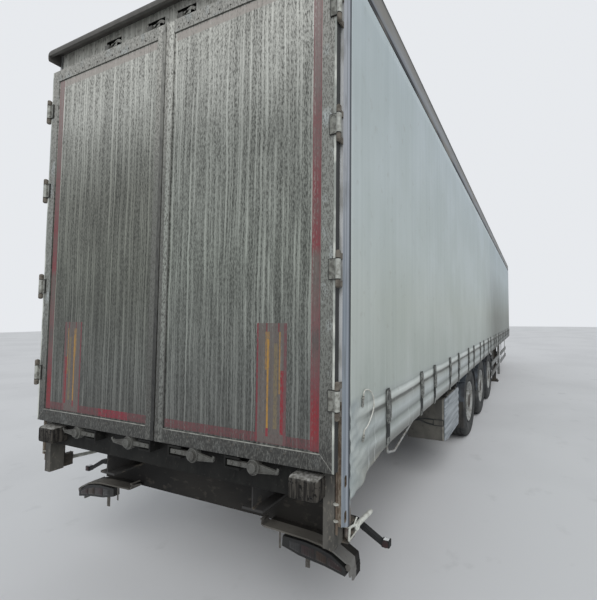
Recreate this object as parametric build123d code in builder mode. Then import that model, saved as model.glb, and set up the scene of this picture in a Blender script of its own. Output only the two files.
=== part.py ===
"""Curtain-sided semi trailer with three axles and two rear doors, in millimetres.

X is to the right, Y forwards to the coupling, Z up. The origin is on the ground below
the middle of the trailer. It stands on its six wheels and its two landing legs.
"""
from build123d import *
import os
from math import cos, pi, radians, sin, tan

os.makedirs("parts", exist_ok=True)

SIDES = (1, -1)                 # right, left
NAME_OF_SIDE = {1: "right", -1: "left"}

# Driving sizes of the whole trailer
BODY_LENGTH = 13600             # doors' outer face to the front wall
CAP_REACH = 30                  # the rear cap's lip, the rearmost piece, behind the doors
HALF_WIDTH = 1275
ROOF_Z = 3980
DOOR_Y = -(BODY_LENGTH - CAP_REACH) / 2
FRONT_Y = DOOR_Y + BODY_LENGTH

# Floor and frame
DECK_Z = 1230
FLOOR_THICK = 28
FRAME_TOP = DECK_Z - FLOOR_THICK
RAIL_X = 650                    # web of a main rail
RAIL_WEB = 8
RAIL_FLANGE = 150
FLANGE_THICK = 14
RAIL_BOTTOM = 780
NECK_BOTTOM = 1100
CROSS_BOTTOM = 1116
CROSS_TOP = FRAME_TOP - FLANGE_THICK - 1
CROSS_WIDTH = 60
CROSS_WALL = 6
CROSS_FIRST = 400               # first cross member, from the doors
CROSS_PITCH = 620
CROSS_COUNT = 22
CROSS_Y = [DOOR_Y + CROSS_FIRST + CROSS_PITCH * i for i in range(CROSS_COUNT)]

# Side rails, roof rails and the rear frame
SIDE_RAIL_IN = 1215
SIDE_RAIL_OUT = 1268
SIDE_RAIL_BOTTOM = 1095
ROOF_RAIL_BOTTOM = 3770
ROOF_RAIL_TOP = 3950
PORTAL_REAR = DOOR_Y + 45
PORTAL_FRONT = DOOR_Y + 125
CROSSBAR_REAR = DOOR_Y + 65
CROSSBAR_BOTTOM = 950
POST_IN = 1172
POST_FOOT = 745
POST_CHANNEL = (1236, 1255)
WALL_THICK = 60
WALL_REAR = FRONT_Y - WALL_THICK

# Curtains
CURTAIN_IN = 1271
CURTAIN_TOP = 3762
CURTAIN_REAR = DOOR_Y + 130
CURTAIN_FRONT = FRONT_Y - 66

# Rear doors, from the middle gap to the hinge edge
DOOR_BOTTOM = 1130
DOOR_TOP = 3760
DOOR_THICK = 35
DOOR_GAP = 5
DOOR_EDGE = 1260
DOOR_BORDER_X = (78, 1178)
DOOR_BORDER_Z = (1215, 3675)
DOOR_INSET = 6
HINGE_X = 1279
HINGE_Y = DOOR_Y - 6
HINGE_Z = (1475, 2110, 2835, 3450)
PIN_R = 8
PIN_PLAY = 0.5
BARREL_R = 13
LEAF_HALF = 52
LEAF_THICK = 8
LEAF_REACH = 54                 # from the pin to the leaf's inner edge
KNUCKLE_GAP = 2
KNUCKLE_HIGH = 30
LOCKS = ((1, 118, 117), (1, 562, 600),          # side, keeper's start, top pocket's middle,
         (-1, 35, 167), (-1, 573, 616))         # each measured outwards from the middle
LOCK_Z = 1088                   # middle of the levers
LOCK_BOSS = 205                 # from a keeper's start to its lever's round boss
LOCK_TIP = 360                  # and to the lever's tip

# Wheels and axles
AXLE_Y = {"rear": DOOR_Y + 4170, "middle": DOOR_Y + 5480, "front": DOOR_Y + 6790}
TYRE_R = 528
TYRE_X = 1020
TYRE_HALF = 190
BEAD_R = 286
AXLE_Z = TYRE_R
AXLE_TUBE_R = 64
SPINDLE_R = 45
GUARD_R = 573
GUARD_THICK = 4

# Landing gear and coupling
LEG_Y = DOOR_Y + 9000
LEG_X = 1100
LEG_TUBE = 130
NECK_REAR = DOOR_Y + 10100
NECK_FRONT = NECK_REAR + 450
KINGPIN_Y = FRONT_Y - 1600
PLATE_THICK = 8


def block(x, y, z, mode=Mode.ADD):
    """A straight block between a pair of X, a pair of Y and a pair of Z."""
    with Locations(((x[0] + x[1]) / 2, (y[0] + y[1]) / 2, (z[0] + z[1]) / 2)):
        Box(abs(x[1] - x[0]), abs(y[1] - y[0]), abs(z[1] - z[0]), mode=mode)


def on_side(side, low, high):
    """A pair of X on the right side, or the same pair mirrored to the left."""
    return (side * low, side * high) if side > 0 else (side * high, side * low)


def rod_x(x, y, z, radius, mode=Mode.ADD):
    """A round bar along X from x[0] to x[1]."""
    with Locations(Location(((x[0] + x[1]) / 2, y, z), (0, 90, 0))):
        Cylinder(radius, abs(x[1] - x[0]), mode=mode)


def rod_y(x, y, z, radius, mode=Mode.ADD):
    """A round bar along Y from y[0] to y[1]."""
    with Locations(Location((x, (y[0] + y[1]) / 2, z), (90, 0, 0))):
        Cylinder(radius, abs(y[1] - y[0]), mode=mode)


def rod_z(x, y, z, radius, mode=Mode.ADD):
    """A round bar along Z from z[0] to z[1]."""
    with Locations((x, y, (z[0] + z[1]) / 2)):
        Cylinder(radius, abs(z[1] - z[0]), mode=mode)


def side_profile(x, points, mode=Mode.ADD):
    """A plate cut to an outline of (Y, Z) points, between a pair of X."""
    with BuildSketch(Plane.YZ.offset(min(x))) as outline:
        with BuildLine():
            Polyline(*points, close=True)
        make_face()
    extrude(outline.sketch, amount=abs(x[1] - x[0]), mode=mode)


def end_profile(y, points, mode=Mode.ADD):
    """A bar along Y with a section of (X, Z) points, between a pair of Y."""
    plane = Plane(origin=(0, y[1], 0), x_dir=(1, 0, 0), z_dir=(0, -1, 0))
    with BuildSketch(plane) as section:
        with BuildLine():
            Polyline(*points, close=True)
        make_face()
    extrude(section.sketch, amount=y[1] - y[0], mode=mode)


def save(piece, name):
    """Label a finished piece and write it."""
    piece.part.label = name
    export_step(piece.part, f"parts/{name}.step")


# Main rails: two deep beams that step up to a shallow neck over the coupling
with BuildPart() as main_rails:
    rail_rear = PORTAL_FRONT
    rail_front = WALL_REAR - WALL_THICK
    lower_edge = [(rail_rear, RAIL_BOTTOM), (NECK_REAR, RAIL_BOTTOM),
                  (NECK_FRONT, NECK_BOTTOM), (rail_front, NECK_BOTTOM)]
    upper_edge = [(y, z + FLANGE_THICK) for y, z in reversed(lower_edge)]
    for side in SIDES:
        web = on_side(side, RAIL_X - RAIL_WEB / 2, RAIL_X + RAIL_WEB / 2)
        flange = on_side(side, RAIL_X - RAIL_FLANGE / 2, RAIL_X + RAIL_FLANGE / 2)
        side_profile(web, lower_edge + [(rail_front, FRAME_TOP), (rail_rear, FRAME_TOP)])
        side_profile(flange, lower_edge + upper_edge)
        block(flange, (rail_rear, rail_front), (FRAME_TOP - FLANGE_THICK, FRAME_TOP))
save(main_rails, "main_rails")

# Cross members: channels between the webs, and outriggers out to the side rails
with BuildPart() as cross_members:
    spans = [(-RAIL_X + RAIL_WEB / 2, RAIL_X - RAIL_WEB / 2),
             (RAIL_X + RAIL_WEB / 2, SIDE_RAIL_OUT - 8),
             (-SIDE_RAIL_OUT + 8, -RAIL_X - RAIL_WEB / 2)]
    for y in CROSS_Y:
        rear = y - CROSS_WIDTH / 2
        front = y + CROSS_WIDTH / 2
        channel = [(rear, CROSS_BOTTOM), (front, CROSS_BOTTOM),
                   (front, CROSS_BOTTOM + CROSS_WALL), (rear + CROSS_WALL, CROSS_BOTTOM + CROSS_WALL),
                   (rear + CROSS_WALL, CROSS_TOP - CROSS_WALL), (front, CROSS_TOP - CROSS_WALL),
                   (front, CROSS_TOP), (rear, CROSS_TOP)]
        for span in spans:
            side_profile(span, channel)
save(cross_members, "cross_members")

# Side rails: channels open inwards, that carry the floor's edge and the curtain hooks
with BuildPart() as side_rails:
    for side in SIDES:
        lip = 12
        web_in = SIDE_RAIL_OUT - 8
        section = [(SIDE_RAIL_IN, SIDE_RAIL_BOTTOM), (SIDE_RAIL_OUT, SIDE_RAIL_BOTTOM),
                   (SIDE_RAIL_OUT, DECK_Z), (SIDE_RAIL_IN, DECK_Z), (SIDE_RAIL_IN, DECK_Z - lip),
                   (web_in, DECK_Z - lip), (web_in, SIDE_RAIL_BOTTOM + lip),
                   (SIDE_RAIL_IN, SIDE_RAIL_BOTTOM + lip)]
        end_profile((PORTAL_FRONT + 50, WALL_REAR), [(side * x, z) for x, z in section])
save(side_rails, "side_rails")

# Floor: one board deck from the rear sill to the front wall
with BuildPart() as floor:
    floor_half = SIDE_RAIL_IN - 2
    block((-floor_half, floor_half), (PORTAL_FRONT, WALL_REAR), (FRAME_TOP, DECK_Z))
save(floor, "floor")

# Front wall: the whole wall with rounded corners, and a lower beam set back under it
with BuildPart() as front_wall:
    corner = 55
    with BuildSketch(Plane.XY.offset(DECK_Z)):
        with Locations((0, (WALL_REAR + FRONT_Y) / 2)):
            Rectangle(2 * HALF_WIDTH, WALL_THICK)
    extrude(amount=ROOF_Z - DECK_Z)
    fillet(front_wall.edges().filter_by(Axis.Z).group_by(Axis.Y)[-1], corner)
    block((-POST_IN, POST_IN), (WALL_REAR - WALL_THICK, WALL_REAR), (NECK_BOTTOM, FRAME_TOP))
    block((-POST_IN, POST_IN), (WALL_REAR, WALL_REAR + 6), (NECK_BOTTOM, DECK_Z))
save(front_wall, "front_wall")

# Roof rails: the curtains hang from their lower flange, the bows from the upper one
with BuildPart() as roof_rails:
    for side in SIDES:
        inner = 1215
        web_in = HALF_WIDTH - 8
        shelf = 3850
        section = [(web_in, ROOF_RAIL_BOTTOM), (HALF_WIDTH, ROOF_RAIL_BOTTOM),
                   (HALF_WIDTH, ROOF_RAIL_TOP), (inner, ROOF_RAIL_TOP),
                   (inner, ROOF_RAIL_TOP - 15), (web_in, ROOF_RAIL_TOP - 15),
                   (web_in, shelf + 10), (inner, shelf + 10), (inner, shelf), (web_in, shelf)]
        end_profile((PORTAL_FRONT, WALL_REAR), [(side * x, z) for x, z in section])
save(roof_rails, "roof_rails")

# Roof bows: cross tubes under the roof sheet
BOW_COUNT = 20
with BuildPart() as roof_bows:
    bow_half = 1260
    bow_pitch = (WALL_REAR - PORTAL_FRONT) / (BOW_COUNT + 1)
    for i in range(BOW_COUNT):
        y = PORTAL_FRONT + bow_pitch * (i + 1)
        block((-bow_half, bow_half), (y - 20, y + 20), (ROOF_RAIL_TOP - 45, ROOF_RAIL_TOP - 15))
save(roof_bows, "roof_bows")

# Roof sheet: flat over the rails, with a low crown in the middle
with BuildPart() as roof_cover:
    end_profile((PORTAL_FRONT, WALL_REAR),
                [(-HALF_WIDTH, ROOF_RAIL_TOP), (HALF_WIDTH, ROOF_RAIL_TOP),
                 (HALF_WIDTH, ROOF_RAIL_TOP + 14), (0.6 * HALF_WIDTH, ROOF_Z - 6), (0, ROOF_Z),
                 (-0.6 * HALF_WIDTH, ROOF_Z - 6), (-HALF_WIDTH, ROOF_RAIL_TOP + 14)])
save(roof_cover, "roof_cover")

# Rear frame: two posts with long feet, header, sill and the low crossbar with lock keepers
with BuildPart() as rear_portal:
    inside = (-POST_IN, POST_IN)
    top = ROOF_RAIL_TOP - 4
    flank_foot = 845            # the outer part of each post ends here, cut at a slant
    for side in SIDES:
        post = on_side(side, POST_IN, POST_CHANNEL[0])
        block(post, (PORTAL_REAR, PORTAL_FRONT), (POST_FOOT, top))
        flank = [(PORTAL_REAR, flank_foot + 20), (PORTAL_FRONT, flank_foot - 20), (PORTAL_FRONT, top),
                 (PORTAL_REAR, top)]
        side_profile(on_side(side, POST_CHANNEL[0], HALF_WIDTH), flank)
    block(inside, (PORTAL_REAR, PORTAL_FRONT), (DOOR_TOP + 5, top))
    block(inside, (PORTAL_REAR, PORTAL_FRONT), (FRAME_TOP - 90, DECK_Z))
    block(inside, (CROSSBAR_REAR, PORTAL_FRONT), (CROSSBAR_BOTTOM, FRAME_TOP - 90))
    # Each keeper is a plate on the crossbar with two arms, one above and one below its lever
    for side, keeper, pocket in LOCKS:
        keeper_y = (DOOR_Y + 4, CROSSBAR_REAR)
        block(on_side(side, keeper, keeper + 12), keeper_y, (LOCK_Z - 33, LOCK_Z + 35))
        for z in (LOCK_Z - 33, LOCK_Z + 23):
            block(on_side(side, keeper, keeper + 110), keeper_y, (z, z + 12))
    # A channel up each post behind the hinges, and pockets in the header for the lock bars
    for side in SIDES:
        block(on_side(side, *POST_CHANNEL), (PORTAL_REAR - 1, PORTAL_REAR + 40),
              (flank_foot - 30, top + 1), mode=Mode.SUBTRACT)
    for side, keeper, pocket in LOCKS:
        block(on_side(side, pocket - 85, pocket + 85), (PORTAL_REAR - 1, PORTAL_REAR + 30), (3812, 3876),
              mode=Mode.SUBTRACT)
        block(on_side(side, pocket - 30, pocket + 34), (PORTAL_REAR + 2, PORTAL_REAR + 31), (3826, 3850))
    # Oval slots in the outer side of each foot
    for side in SIDES:
        wall = on_side(side, HALF_WIDTH - 12, HALF_WIDTH + 5)
        for z in (894, 1064):
            for end in (z - 18, z + 18):
                rod_x(wall, PORTAL_REAR + 40, end, 11, mode=Mode.SUBTRACT)
            block(wall, (PORTAL_REAR + 29, PORTAL_REAR + 51), (z - 18, z + 18), mode=Mode.SUBTRACT)
save(rear_portal, "rear_portal")

# Rear cap: a quarter-round hood over the doors, with a deeper cheek and a round corner at each end
with BuildPart() as rear_cap:
    cap_rear = DOOR_Y - CAP_REACH
    cap_bottom = 3805           # the cheeks
    lip_bottom = 3878
    cap_round = 98
    cap_corner = 70
    cap_wall = 12
    with BuildSketch(Plane.YZ.offset(-HALF_WIDTH)) as hood:
        with BuildLine():
            Line((PORTAL_FRONT, cap_bottom), (cap_rear, cap_bottom))
            Line((cap_rear, cap_bottom), (cap_rear, ROOF_Z - cap_round))
            RadiusArc((cap_rear, ROOF_Z - cap_round), (cap_rear + cap_round, ROOF_Z), cap_round)
            Line((cap_rear + cap_round, ROOF_Z), (PORTAL_FRONT, ROOF_Z))
            Line((PORTAL_FRONT, ROOF_Z), (PORTAL_FRONT, cap_bottom))
        make_face()
    extrude(hood.sketch, amount=2 * HALF_WIDTH)
    plane = Plane(origin=(0, PORTAL_FRONT, 0), x_dir=(1, 0, 0), z_dir=(0, -1, 0))
    with BuildSketch(plane) as outline:
        with Locations((0, (cap_bottom + ROOF_Z) / 2)):
            Rectangle(2 * HALF_WIDTH, ROOF_Z - cap_bottom)
        fillet(outline.vertices().group_by(Axis.Z)[-1], cap_corner)
    extrude(outline.sketch, amount=PORTAL_FRONT - cap_rear, mode=Mode.INTERSECT)
    block((-HALF_WIDTH - 1, HALF_WIDTH + 1), (PORTAL_REAR - 2, PORTAL_FRONT + 1),
          (cap_bottom - 1, ROOF_RAIL_TOP - 3), mode=Mode.SUBTRACT)
    between = (-HALF_WIDTH + cap_wall, HALF_WIDTH - cap_wall)
    block(between, (cap_rear - 1, PORTAL_REAR), (cap_bottom - 1, lip_bottom), mode=Mode.SUBTRACT)
    block(between, (cap_rear + 18, PORTAL_REAR), (cap_bottom - 1, ROOF_Z - 55), mode=Mode.SUBTRACT)
save(rear_cap, "rear_cap")

# Side posts: three sliding inner posts a side, from the floor to the roof rail's shelf
with BuildPart() as side_posts:
    for side in SIDES:
        for share in (0.25, 0.5, 0.75):
            y = PORTAL_FRONT + share * (WALL_REAR - PORTAL_FRONT)
            block(on_side(side, 1155, SIDE_RAIL_IN - 2), (y - 50, y + 50), (DECK_Z, 3850))
            block(on_side(side, SIDE_RAIL_IN - 2, 1262), (y - 50, y + 50), (3815, 3850))
save(side_posts, "side_posts")

# Curtains: thin cloth with three stiffening ridges, dropped at the rear lower corner
RIDGE_Z = (1088, 1180, 1354)
for side in SIDES:
    with BuildPart() as curtain:
        hem = [(CURTAIN_REAR, 953), (DOOR_Y + 260, 958), (DOOR_Y + 360, 1019), (DOOR_Y + 500, 1042),
               (DOOR_Y + 620, 1058), (DOOR_Y + 1380, 1066), (CURTAIN_FRONT, 1066)]
        side_profile(on_side(side, CURTAIN_IN, HALF_WIDTH),
                     hem + [(CURTAIN_FRONT, CURTAIN_TOP), (CURTAIN_REAR, CURTAIN_TOP)])
        for z in RIDGE_Z:
            ridge = [(side * HALF_WIDTH, z - 12), (side * (HALF_WIDTH + 5), z - 5),
                     (side * (HALF_WIDTH + 5), z + 5), (side * HALF_WIDTH, z + 12)]
            end_profile((CURTAIN_REAR, CURTAIN_FRONT), ridge)
    save(curtain, f"curtain_{NAME_OF_SIDE[side]}")

# Curtain straps: a strap hooked under the side rail, with its buckle, at each station
STRAP_Y = [610, 1335, 1750]                     # from the doors
for i in range(9):
    STRAP_Y += [2410 + 1225 * i, 2905 + 1225 * i]
STRAP_Y += [13300]
CORD_START = (1283, DOOR_Y + 262, 1446)
CORD_END = (1283, DOOR_Y + 266, 1236)
with BuildPart() as curtain_straps:
    strap_in = HALF_WIDTH + 6
    for side in SIDES:
        for station in STRAP_Y:
            y = DOOR_Y + station
            block(on_side(side, strap_in, strap_in + 3), (y - 24, y + 24), (1050, 1420))
            block(on_side(side, strap_in + 3, strap_in + 16), (y - 29, y + 29), (1200, 1415))
    # Two short sewn straps with a ferrule, for the ends of the loose cord
    for start, end, ferrule in ((1385, 1440, CORD_START), (1196, 1230, CORD_END)):
        block((HALF_WIDTH, HALF_WIDTH + 4), (ferrule[1] - 12, ferrule[1] + 12), (start, end))
        rod_z(ferrule[0], ferrule[1], (ferrule[2] - 22, ferrule[2]), 7)
save(curtain_straps, "curtain_straps")

# Loose cord: a stiff cord that bows out from one ferrule and back to the other
with BuildPart() as curtain_cord:
    cord_radius = 3.5
    cord_route = [CORD_START,                   # X, Y from the doors, Z below
                  (1283, DOOR_Y + 262, 1466), (1285, DOOR_Y + 290, 1476), (1287, DOOR_Y + 338, 1460),
                  (1288, DOOR_Y + 374, 1424), (1288, DOOR_Y + 388, 1380), (1288, DOOR_Y + 377, 1338),
                  (1287, DOOR_Y + 354, 1310), (1286, DOOR_Y + 326, 1282), (1285, DOOR_Y + 296, 1264),
                  (1283, DOOR_Y + 266, 1256), CORD_END]
    runs = [Vector(b) - Vector(a) for a, b in zip(cord_route, cord_route[1:])]
    bends = [0.45 * min(a.length, b.length) / tan(radians(a.get_angle(b)) / 2)
             for a, b in zip(runs, runs[1:])]
    print("cord bend radii", [round(bend) for bend in bends])
    with BuildLine() as cord_line:
        FilletPolyline(*cord_route, radius=bends)
    cord_path = Wire(cord_line.edges())
    with BuildSketch(cord_path ^ 0):
        Circle(cord_radius)
    sweep(path=cord_path)
    print("cord length", round(cord_path.length), "section times length",
          round(pi * cord_radius**2 * cord_path.length), "volume", round(curtain_cord.part.volume))
save(curtain_cord, "curtain_cord")

# Curtain tensioners: a pole inside each curtain's rear edge, its ratchet, bracket and lever
with BuildPart() as curtain_tensioners:
    pole_y = DOOR_Y + 150
    for side in SIDES:
        rod_z(side * 1250, pole_y, (752, CURTAIN_TOP), 17)
        rod_z(side * 1246, pole_y + 30, (750, 812), 26)
        for z in (736, 818):
            block(on_side(side, 1218, 1268), (PORTAL_FRONT + 1, DOOR_Y + 215), (z, z + 8))
        block(on_side(side, 1218, 1226), (PORTAL_FRONT + 1, DOOR_Y + 215), (736, 826))
        block(on_side(side, 1252, 1278), (pole_y + 40, DOOR_Y + 400), (752, 778))
save(curtain_tensioners, "curtain_tensioners")

# Fixed knuckles: a pair on the post for each door hinge, with the hinge pin
with BuildPart() as post_hinges:
    for side in SIDES:
        for z in HINGE_Z:
            low = LEAF_HALF + KNUCKLE_GAP
            high = low + KNUCKLE_HIGH
            for ends in ((z - high, z - low), (z + low, z + high)):
                rod_z(side * HINGE_X, HINGE_Y, ends, BARREL_R)
                block(on_side(side, HINGE_X - 13, HINGE_X - 4), (HINGE_Y, PORTAL_REAR), ends)
            rod_z(side * HINGE_X, HINGE_Y, (z - high, z + high), PIN_R)
save(post_hinges, "post_hinges")

# Rear doors: framed panels with an inset field, hinge leaves, and lock gear above and below
for side in SIDES:
    with BuildPart() as door:
        block(on_side(side, DOOR_GAP, DOOR_EDGE), (DOOR_Y, DOOR_Y + DOOR_THICK), (DOOR_BOTTOM, DOOR_TOP))
        block(on_side(side, *DOOR_BORDER_X), (DOOR_Y - 1, DOOR_Y + DOOR_INSET), DOOR_BORDER_Z,
              mode=Mode.SUBTRACT)
    save(door, f"door_{NAME_OF_SIDE[side]}_panel")

    with BuildPart() as leaves:
        frame_width = 7         # a raised frame round each leaf
        leaf_x = (HINGE_X - LEAF_REACH, HINGE_X)
        for z in HINGE_Z:
            ends = (z - LEAF_HALF, z + LEAF_HALF)
            block(on_side(side, *leaf_x), (DOOR_Y - LEAF_THICK, DOOR_Y), ends)
            block(on_side(side, leaf_x[0] + frame_width, HINGE_X - BARREL_R - frame_width),
                  (DOOR_Y - LEAF_THICK - 1, DOOR_Y - LEAF_THICK + 3),
                  (z - LEAF_HALF + frame_width, z + LEAF_HALF - frame_width), mode=Mode.SUBTRACT)
            rod_z(side * HINGE_X, HINGE_Y, ends, BARREL_R)
            rod_z(side * HINGE_X, HINGE_Y, ends, PIN_R + PIN_PLAY, mode=Mode.SUBTRACT)
    save(leaves, f"door_{NAME_OF_SIDE[side]}_hinges")

    # A hook on top for each header pocket, and below a lever with a round boss and a raised bolt
    with BuildPart() as locks:
        boss_r = 41
        for lock_side, keeper, pocket in LOCKS:
            if lock_side != side:
                continue
            block(on_side(side, pocket - 22, pocket + 22), (DOOR_Y + 2, DOOR_Y + 33),
                  (DOOR_TOP, DOOR_TOP + 36))
            boss = keeper + LOCK_BOSS
            rod_y(side * boss, (DOOR_Y + 2, DOOR_Y + 30), LOCK_Z, boss_r)
            rod_y(side * boss, (DOOR_Y - 10, DOOR_Y + 2), LOCK_Z, 26)
            block(on_side(side, boss - 30, boss + 30), (DOOR_Y + 8, DOOR_Y + 30), (LOCK_Z, DOOR_BOTTOM))
            block(on_side(side, keeper + 20, boss), (DOOR_Y + 8, DOOR_Y + 22), (LOCK_Z - 13, LOCK_Z + 13))
            tip = keeper + LOCK_TIP
            arm = [(boss, LOCK_Z - 32), (tip, LOCK_Z - 18), (tip + 6, LOCK_Z + 6), (tip - 8, LOCK_Z),
                   (boss, LOCK_Z + 24)]
            end_profile((DOOR_Y + 8, DOOR_Y + 18), [(side * x, z) for x, z in arm])
    save(locks, f"door_{NAME_OF_SIDE[side]}_locks")

# Axles: tube, brake back plates and spindles, one beam for each pair of wheels
for place, y in AXLE_Y.items():
    with BuildPart() as axle:
        rod_x((-830, 830), y, AXLE_Z, AXLE_TUBE_R)
        for side in SIDES:
            rod_x(on_side(side, 800, 816), y, AXLE_Z, 190)
            rod_x(on_side(side, 816, 1130), y, AXLE_Z, SPINDLE_R)
    save(axle, f"axle_{place}")

# Suspension: a hanger under the rail and a trailing arm over the axle, at each wheel
with BuildPart() as suspension:
    for y in AXLE_Y.values():
        for side in SIDES:
            hanger = [(y + 400, RAIL_BOTTOM), (y + 630, RAIL_BOTTOM), (y + 570, 480), (y + 470, 480)]
            arm = [(y + 500, 505), (y + 500, 560), (y + 90, AXLE_Z + AXLE_TUBE_R + 48),
                   (y - 540, AXLE_Z + AXLE_TUBE_R + 48), (y - 540, AXLE_Z + AXLE_TUBE_R + 20),
                   (y - 90, AXLE_Z + AXLE_TUBE_R), (y + 90, AXLE_Z + AXLE_TUBE_R)]
            side_profile(on_side(side, 590, 710), hanger)
            side_profile(on_side(side, 605, 695), arm)
save(suspension, "suspension")

# Air springs between the arms' tails and the rails
with BuildPart() as air_springs:
    for y in AXLE_Y.values():
        for side in SIDES:
            spring = (AXLE_Z + AXLE_TUBE_R + 48, RAIL_BOTTOM)
            rod_z(side * RAIL_X, y - 420, spring, 110)
            rod_z(side * RAIL_X, y - 420, (spring[0] + 25, spring[1] - 25), 135)
save(air_springs, "air_springs")

# Mudguards: a half hoop over each wheel, carried by two tubes from the main rail
GUARD_IN = 832
GUARD_OUT = 1212
with BuildPart() as mudguards:
    for y in AXLE_Y.values():
        for side in SIDES:
            with BuildSketch(Plane.YZ.offset(min(on_side(side, GUARD_IN, GUARD_OUT)))):
                with Locations((y, AXLE_Z)):
                    Circle(GUARD_R + GUARD_THICK)
                    Circle(GUARD_R, mode=Mode.SUBTRACT)
                with Locations((y, AXLE_Z - GUARD_R + 30)):
                    Rectangle(2.4 * GUARD_R, 2 * GUARD_R, mode=Mode.SUBTRACT)
            extrude(amount=GUARD_OUT - GUARD_IN)
            for angle in (40, 140):
                reach = GUARD_R + GUARD_THICK + 14
                tube_y = y + reach * cos(radians(angle))
                tube_z = AXLE_Z + reach * sin(radians(angle))
                rod_x(on_side(side, RAIL_X + RAIL_WEB / 2, GUARD_OUT - 10), tube_y, tube_z, 16)
save(mudguards, "mudguards")

# Mudflaps behind the rear wheels
with BuildPart() as mudflaps:
    flap_y = AXLE_Y["rear"] - GUARD_R - GUARD_THICK
    for side in SIDES:
        block(on_side(side, GUARD_IN + 5, GUARD_OUT - 5), (flap_y - 8, flap_y - 1), (270, 640))
save(mudflaps, "mudflaps")

# Wheels: a hollow tyre, and a rim with its disc, hub and brake drum, for each of six places
tyre_section = [(-120, BEAD_R), (-165, BEAD_R + 30), (-TYRE_HALF, 400), (-TYRE_HALF + 4, 452),
                (-TYRE_HALF + 22, TYRE_R - 10), (-TYRE_HALF + 45, TYRE_R), (TYRE_HALF - 45, TYRE_R),
                (TYRE_HALF - 22, TYRE_R - 10), (TYRE_HALF - 4, 452), (TYRE_HALF, 400),
                (165, BEAD_R + 30), (120, BEAD_R), (135, BEAD_R + 60), (158, 420), (140, TYRE_R - 40),
                (-140, TYRE_R - 40), (-158, 420), (-135, BEAD_R + 60)]
rim_section = [(-172, 304), (-160, 304), (-150, 285), (-60, 262), (60, 262), (150, 285), (160, 304),
               (172, 304), (166, 284), (150, 272), (120, 254), (104, 240), (88, 175), (88, 140),
               (150, 132), (168, 110), (168, 0), (118, 0), (118, SPINDLE_R + 0.5), (-150, SPINDLE_R + 0.5),
               (-150, 205), (-20, 205), (-20, 150), (60, 140), (60, 175), (84, 244), (60, 250),
               (-120, 254), (-150, 272), (-166, 284)]
HAND_HOLES = 10
for place, y in AXLE_Y.items():
    for side in SIDES:
        hub = Plane(origin=(side * TYRE_X, y, AXLE_Z), x_dir=(1, 0, 0), z_dir=(0, -1, 0))
        spin = Axis((0, y, AXLE_Z), (1, 0, 0))
        with BuildPart() as tyre:
            with BuildSketch(hub):
                with BuildLine():
                    Polyline(*[(side * x, r) for x, r in tyre_section], close=True)
                make_face()
            revolve(axis=spin)
        save(tyre, f"tyre_{place}_{NAME_OF_SIDE[side]}")
        with BuildPart() as rim:
            with BuildSketch(hub):
                with BuildLine():
                    Polyline(*[(side * x, r) for x, r in rim_section], close=True)
                make_face()
            revolve(axis=spin)
            with BuildSketch(Plane(origin=(side * (TYRE_X + 30), y, AXLE_Z), z_dir=(side, 0, 0))):
                with PolarLocations(208, HAND_HOLES):
                    Circle(22)
            extrude(amount=100, mode=Mode.SUBTRACT)
        save(rim, f"rim_{place}_{NAME_OF_SIDE[side]}")

# Landing gear: two legs on ground plates, mounting plates, gear shaft and tie
with BuildPart() as landing_gear:
    half = LEG_TUBE / 2
    for side in SIDES:
        x = side * LEG_X
        block((x - half, x + half), (LEG_Y - half, LEG_Y + half), (470, 1090))
        block((x - 52, x + 52), (LEG_Y - 52, LEG_Y + 52), (60, 470))
        block((x - 120, x + 120), (LEG_Y - 110, LEG_Y + 110), (0, 22))
        block((x - 95, x + 95), (LEG_Y - 75, LEG_Y + 75), (22, 60))
        block(on_side(side, RAIL_X + RAIL_WEB / 2, LEG_X - half), (LEG_Y - 50, LEG_Y + 50), (840, 1060))
    rod_x((-LEG_X + half, LEG_X - half), LEG_Y, 720, 16)
    block((-LEG_X + half, LEG_X - half), (LEG_Y - 20, LEG_Y + 20), (520, 580))
save(landing_gear, "landing_gear")

# Coupling plate under the neck, and the kingpin with its collar
with BuildPart() as coupling_plate:
    block((-RAIL_X - 75, RAIL_X + 75), (NECK_FRONT + 60, WALL_REAR - WALL_THICK),
          (NECK_BOTTOM - PLATE_THICK, NECK_BOTTOM))
save(coupling_plate, "coupling_plate")

with BuildPart() as kingpin:
    pin_top = NECK_BOTTOM - PLATE_THICK
    rod_z(0, KINGPIN_Y, (pin_top - 35, pin_top), 36.5)
    rod_z(0, KINGPIN_Y, (pin_top - 70, pin_top - 35), 25.4)
    rod_z(0, KINGPIN_Y, (pin_top - 84, pin_top - 70), 35.7)
save(kingpin, "kingpin")

# Side guards: two boards a side behind the leg and two ahead of it, and a long post at the leg
GUARD_SPANS = ((7100, 9040), (9600, 11650))    # from the doors: rear end, front end
GUARD_BOARDS = (455, 690)
BOARD_HIGH = 100
with BuildPart() as side_guards:
    for side in SIDES:
        for rear, front in GUARD_SPANS:
            for z in GUARD_BOARDS:
                block(on_side(side, 1228, 1253), (DOOR_Y + rear, DOOR_Y + front), (z, z + BOARD_HIGH))
            for y in (DOOR_Y + rear + 400, DOOR_Y + front - 150):
                block(on_side(side, 1216, 1228), (y - 30, y + 30), (GUARD_BOARDS[0], SIDE_RAIL_BOTTOM))
        block(on_side(side, 1192, 1253), (DOOR_Y + 9040, DOOR_Y + 9110), (200, SIDE_RAIL_BOTTOM))
save(side_guards, "side_guards")

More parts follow.
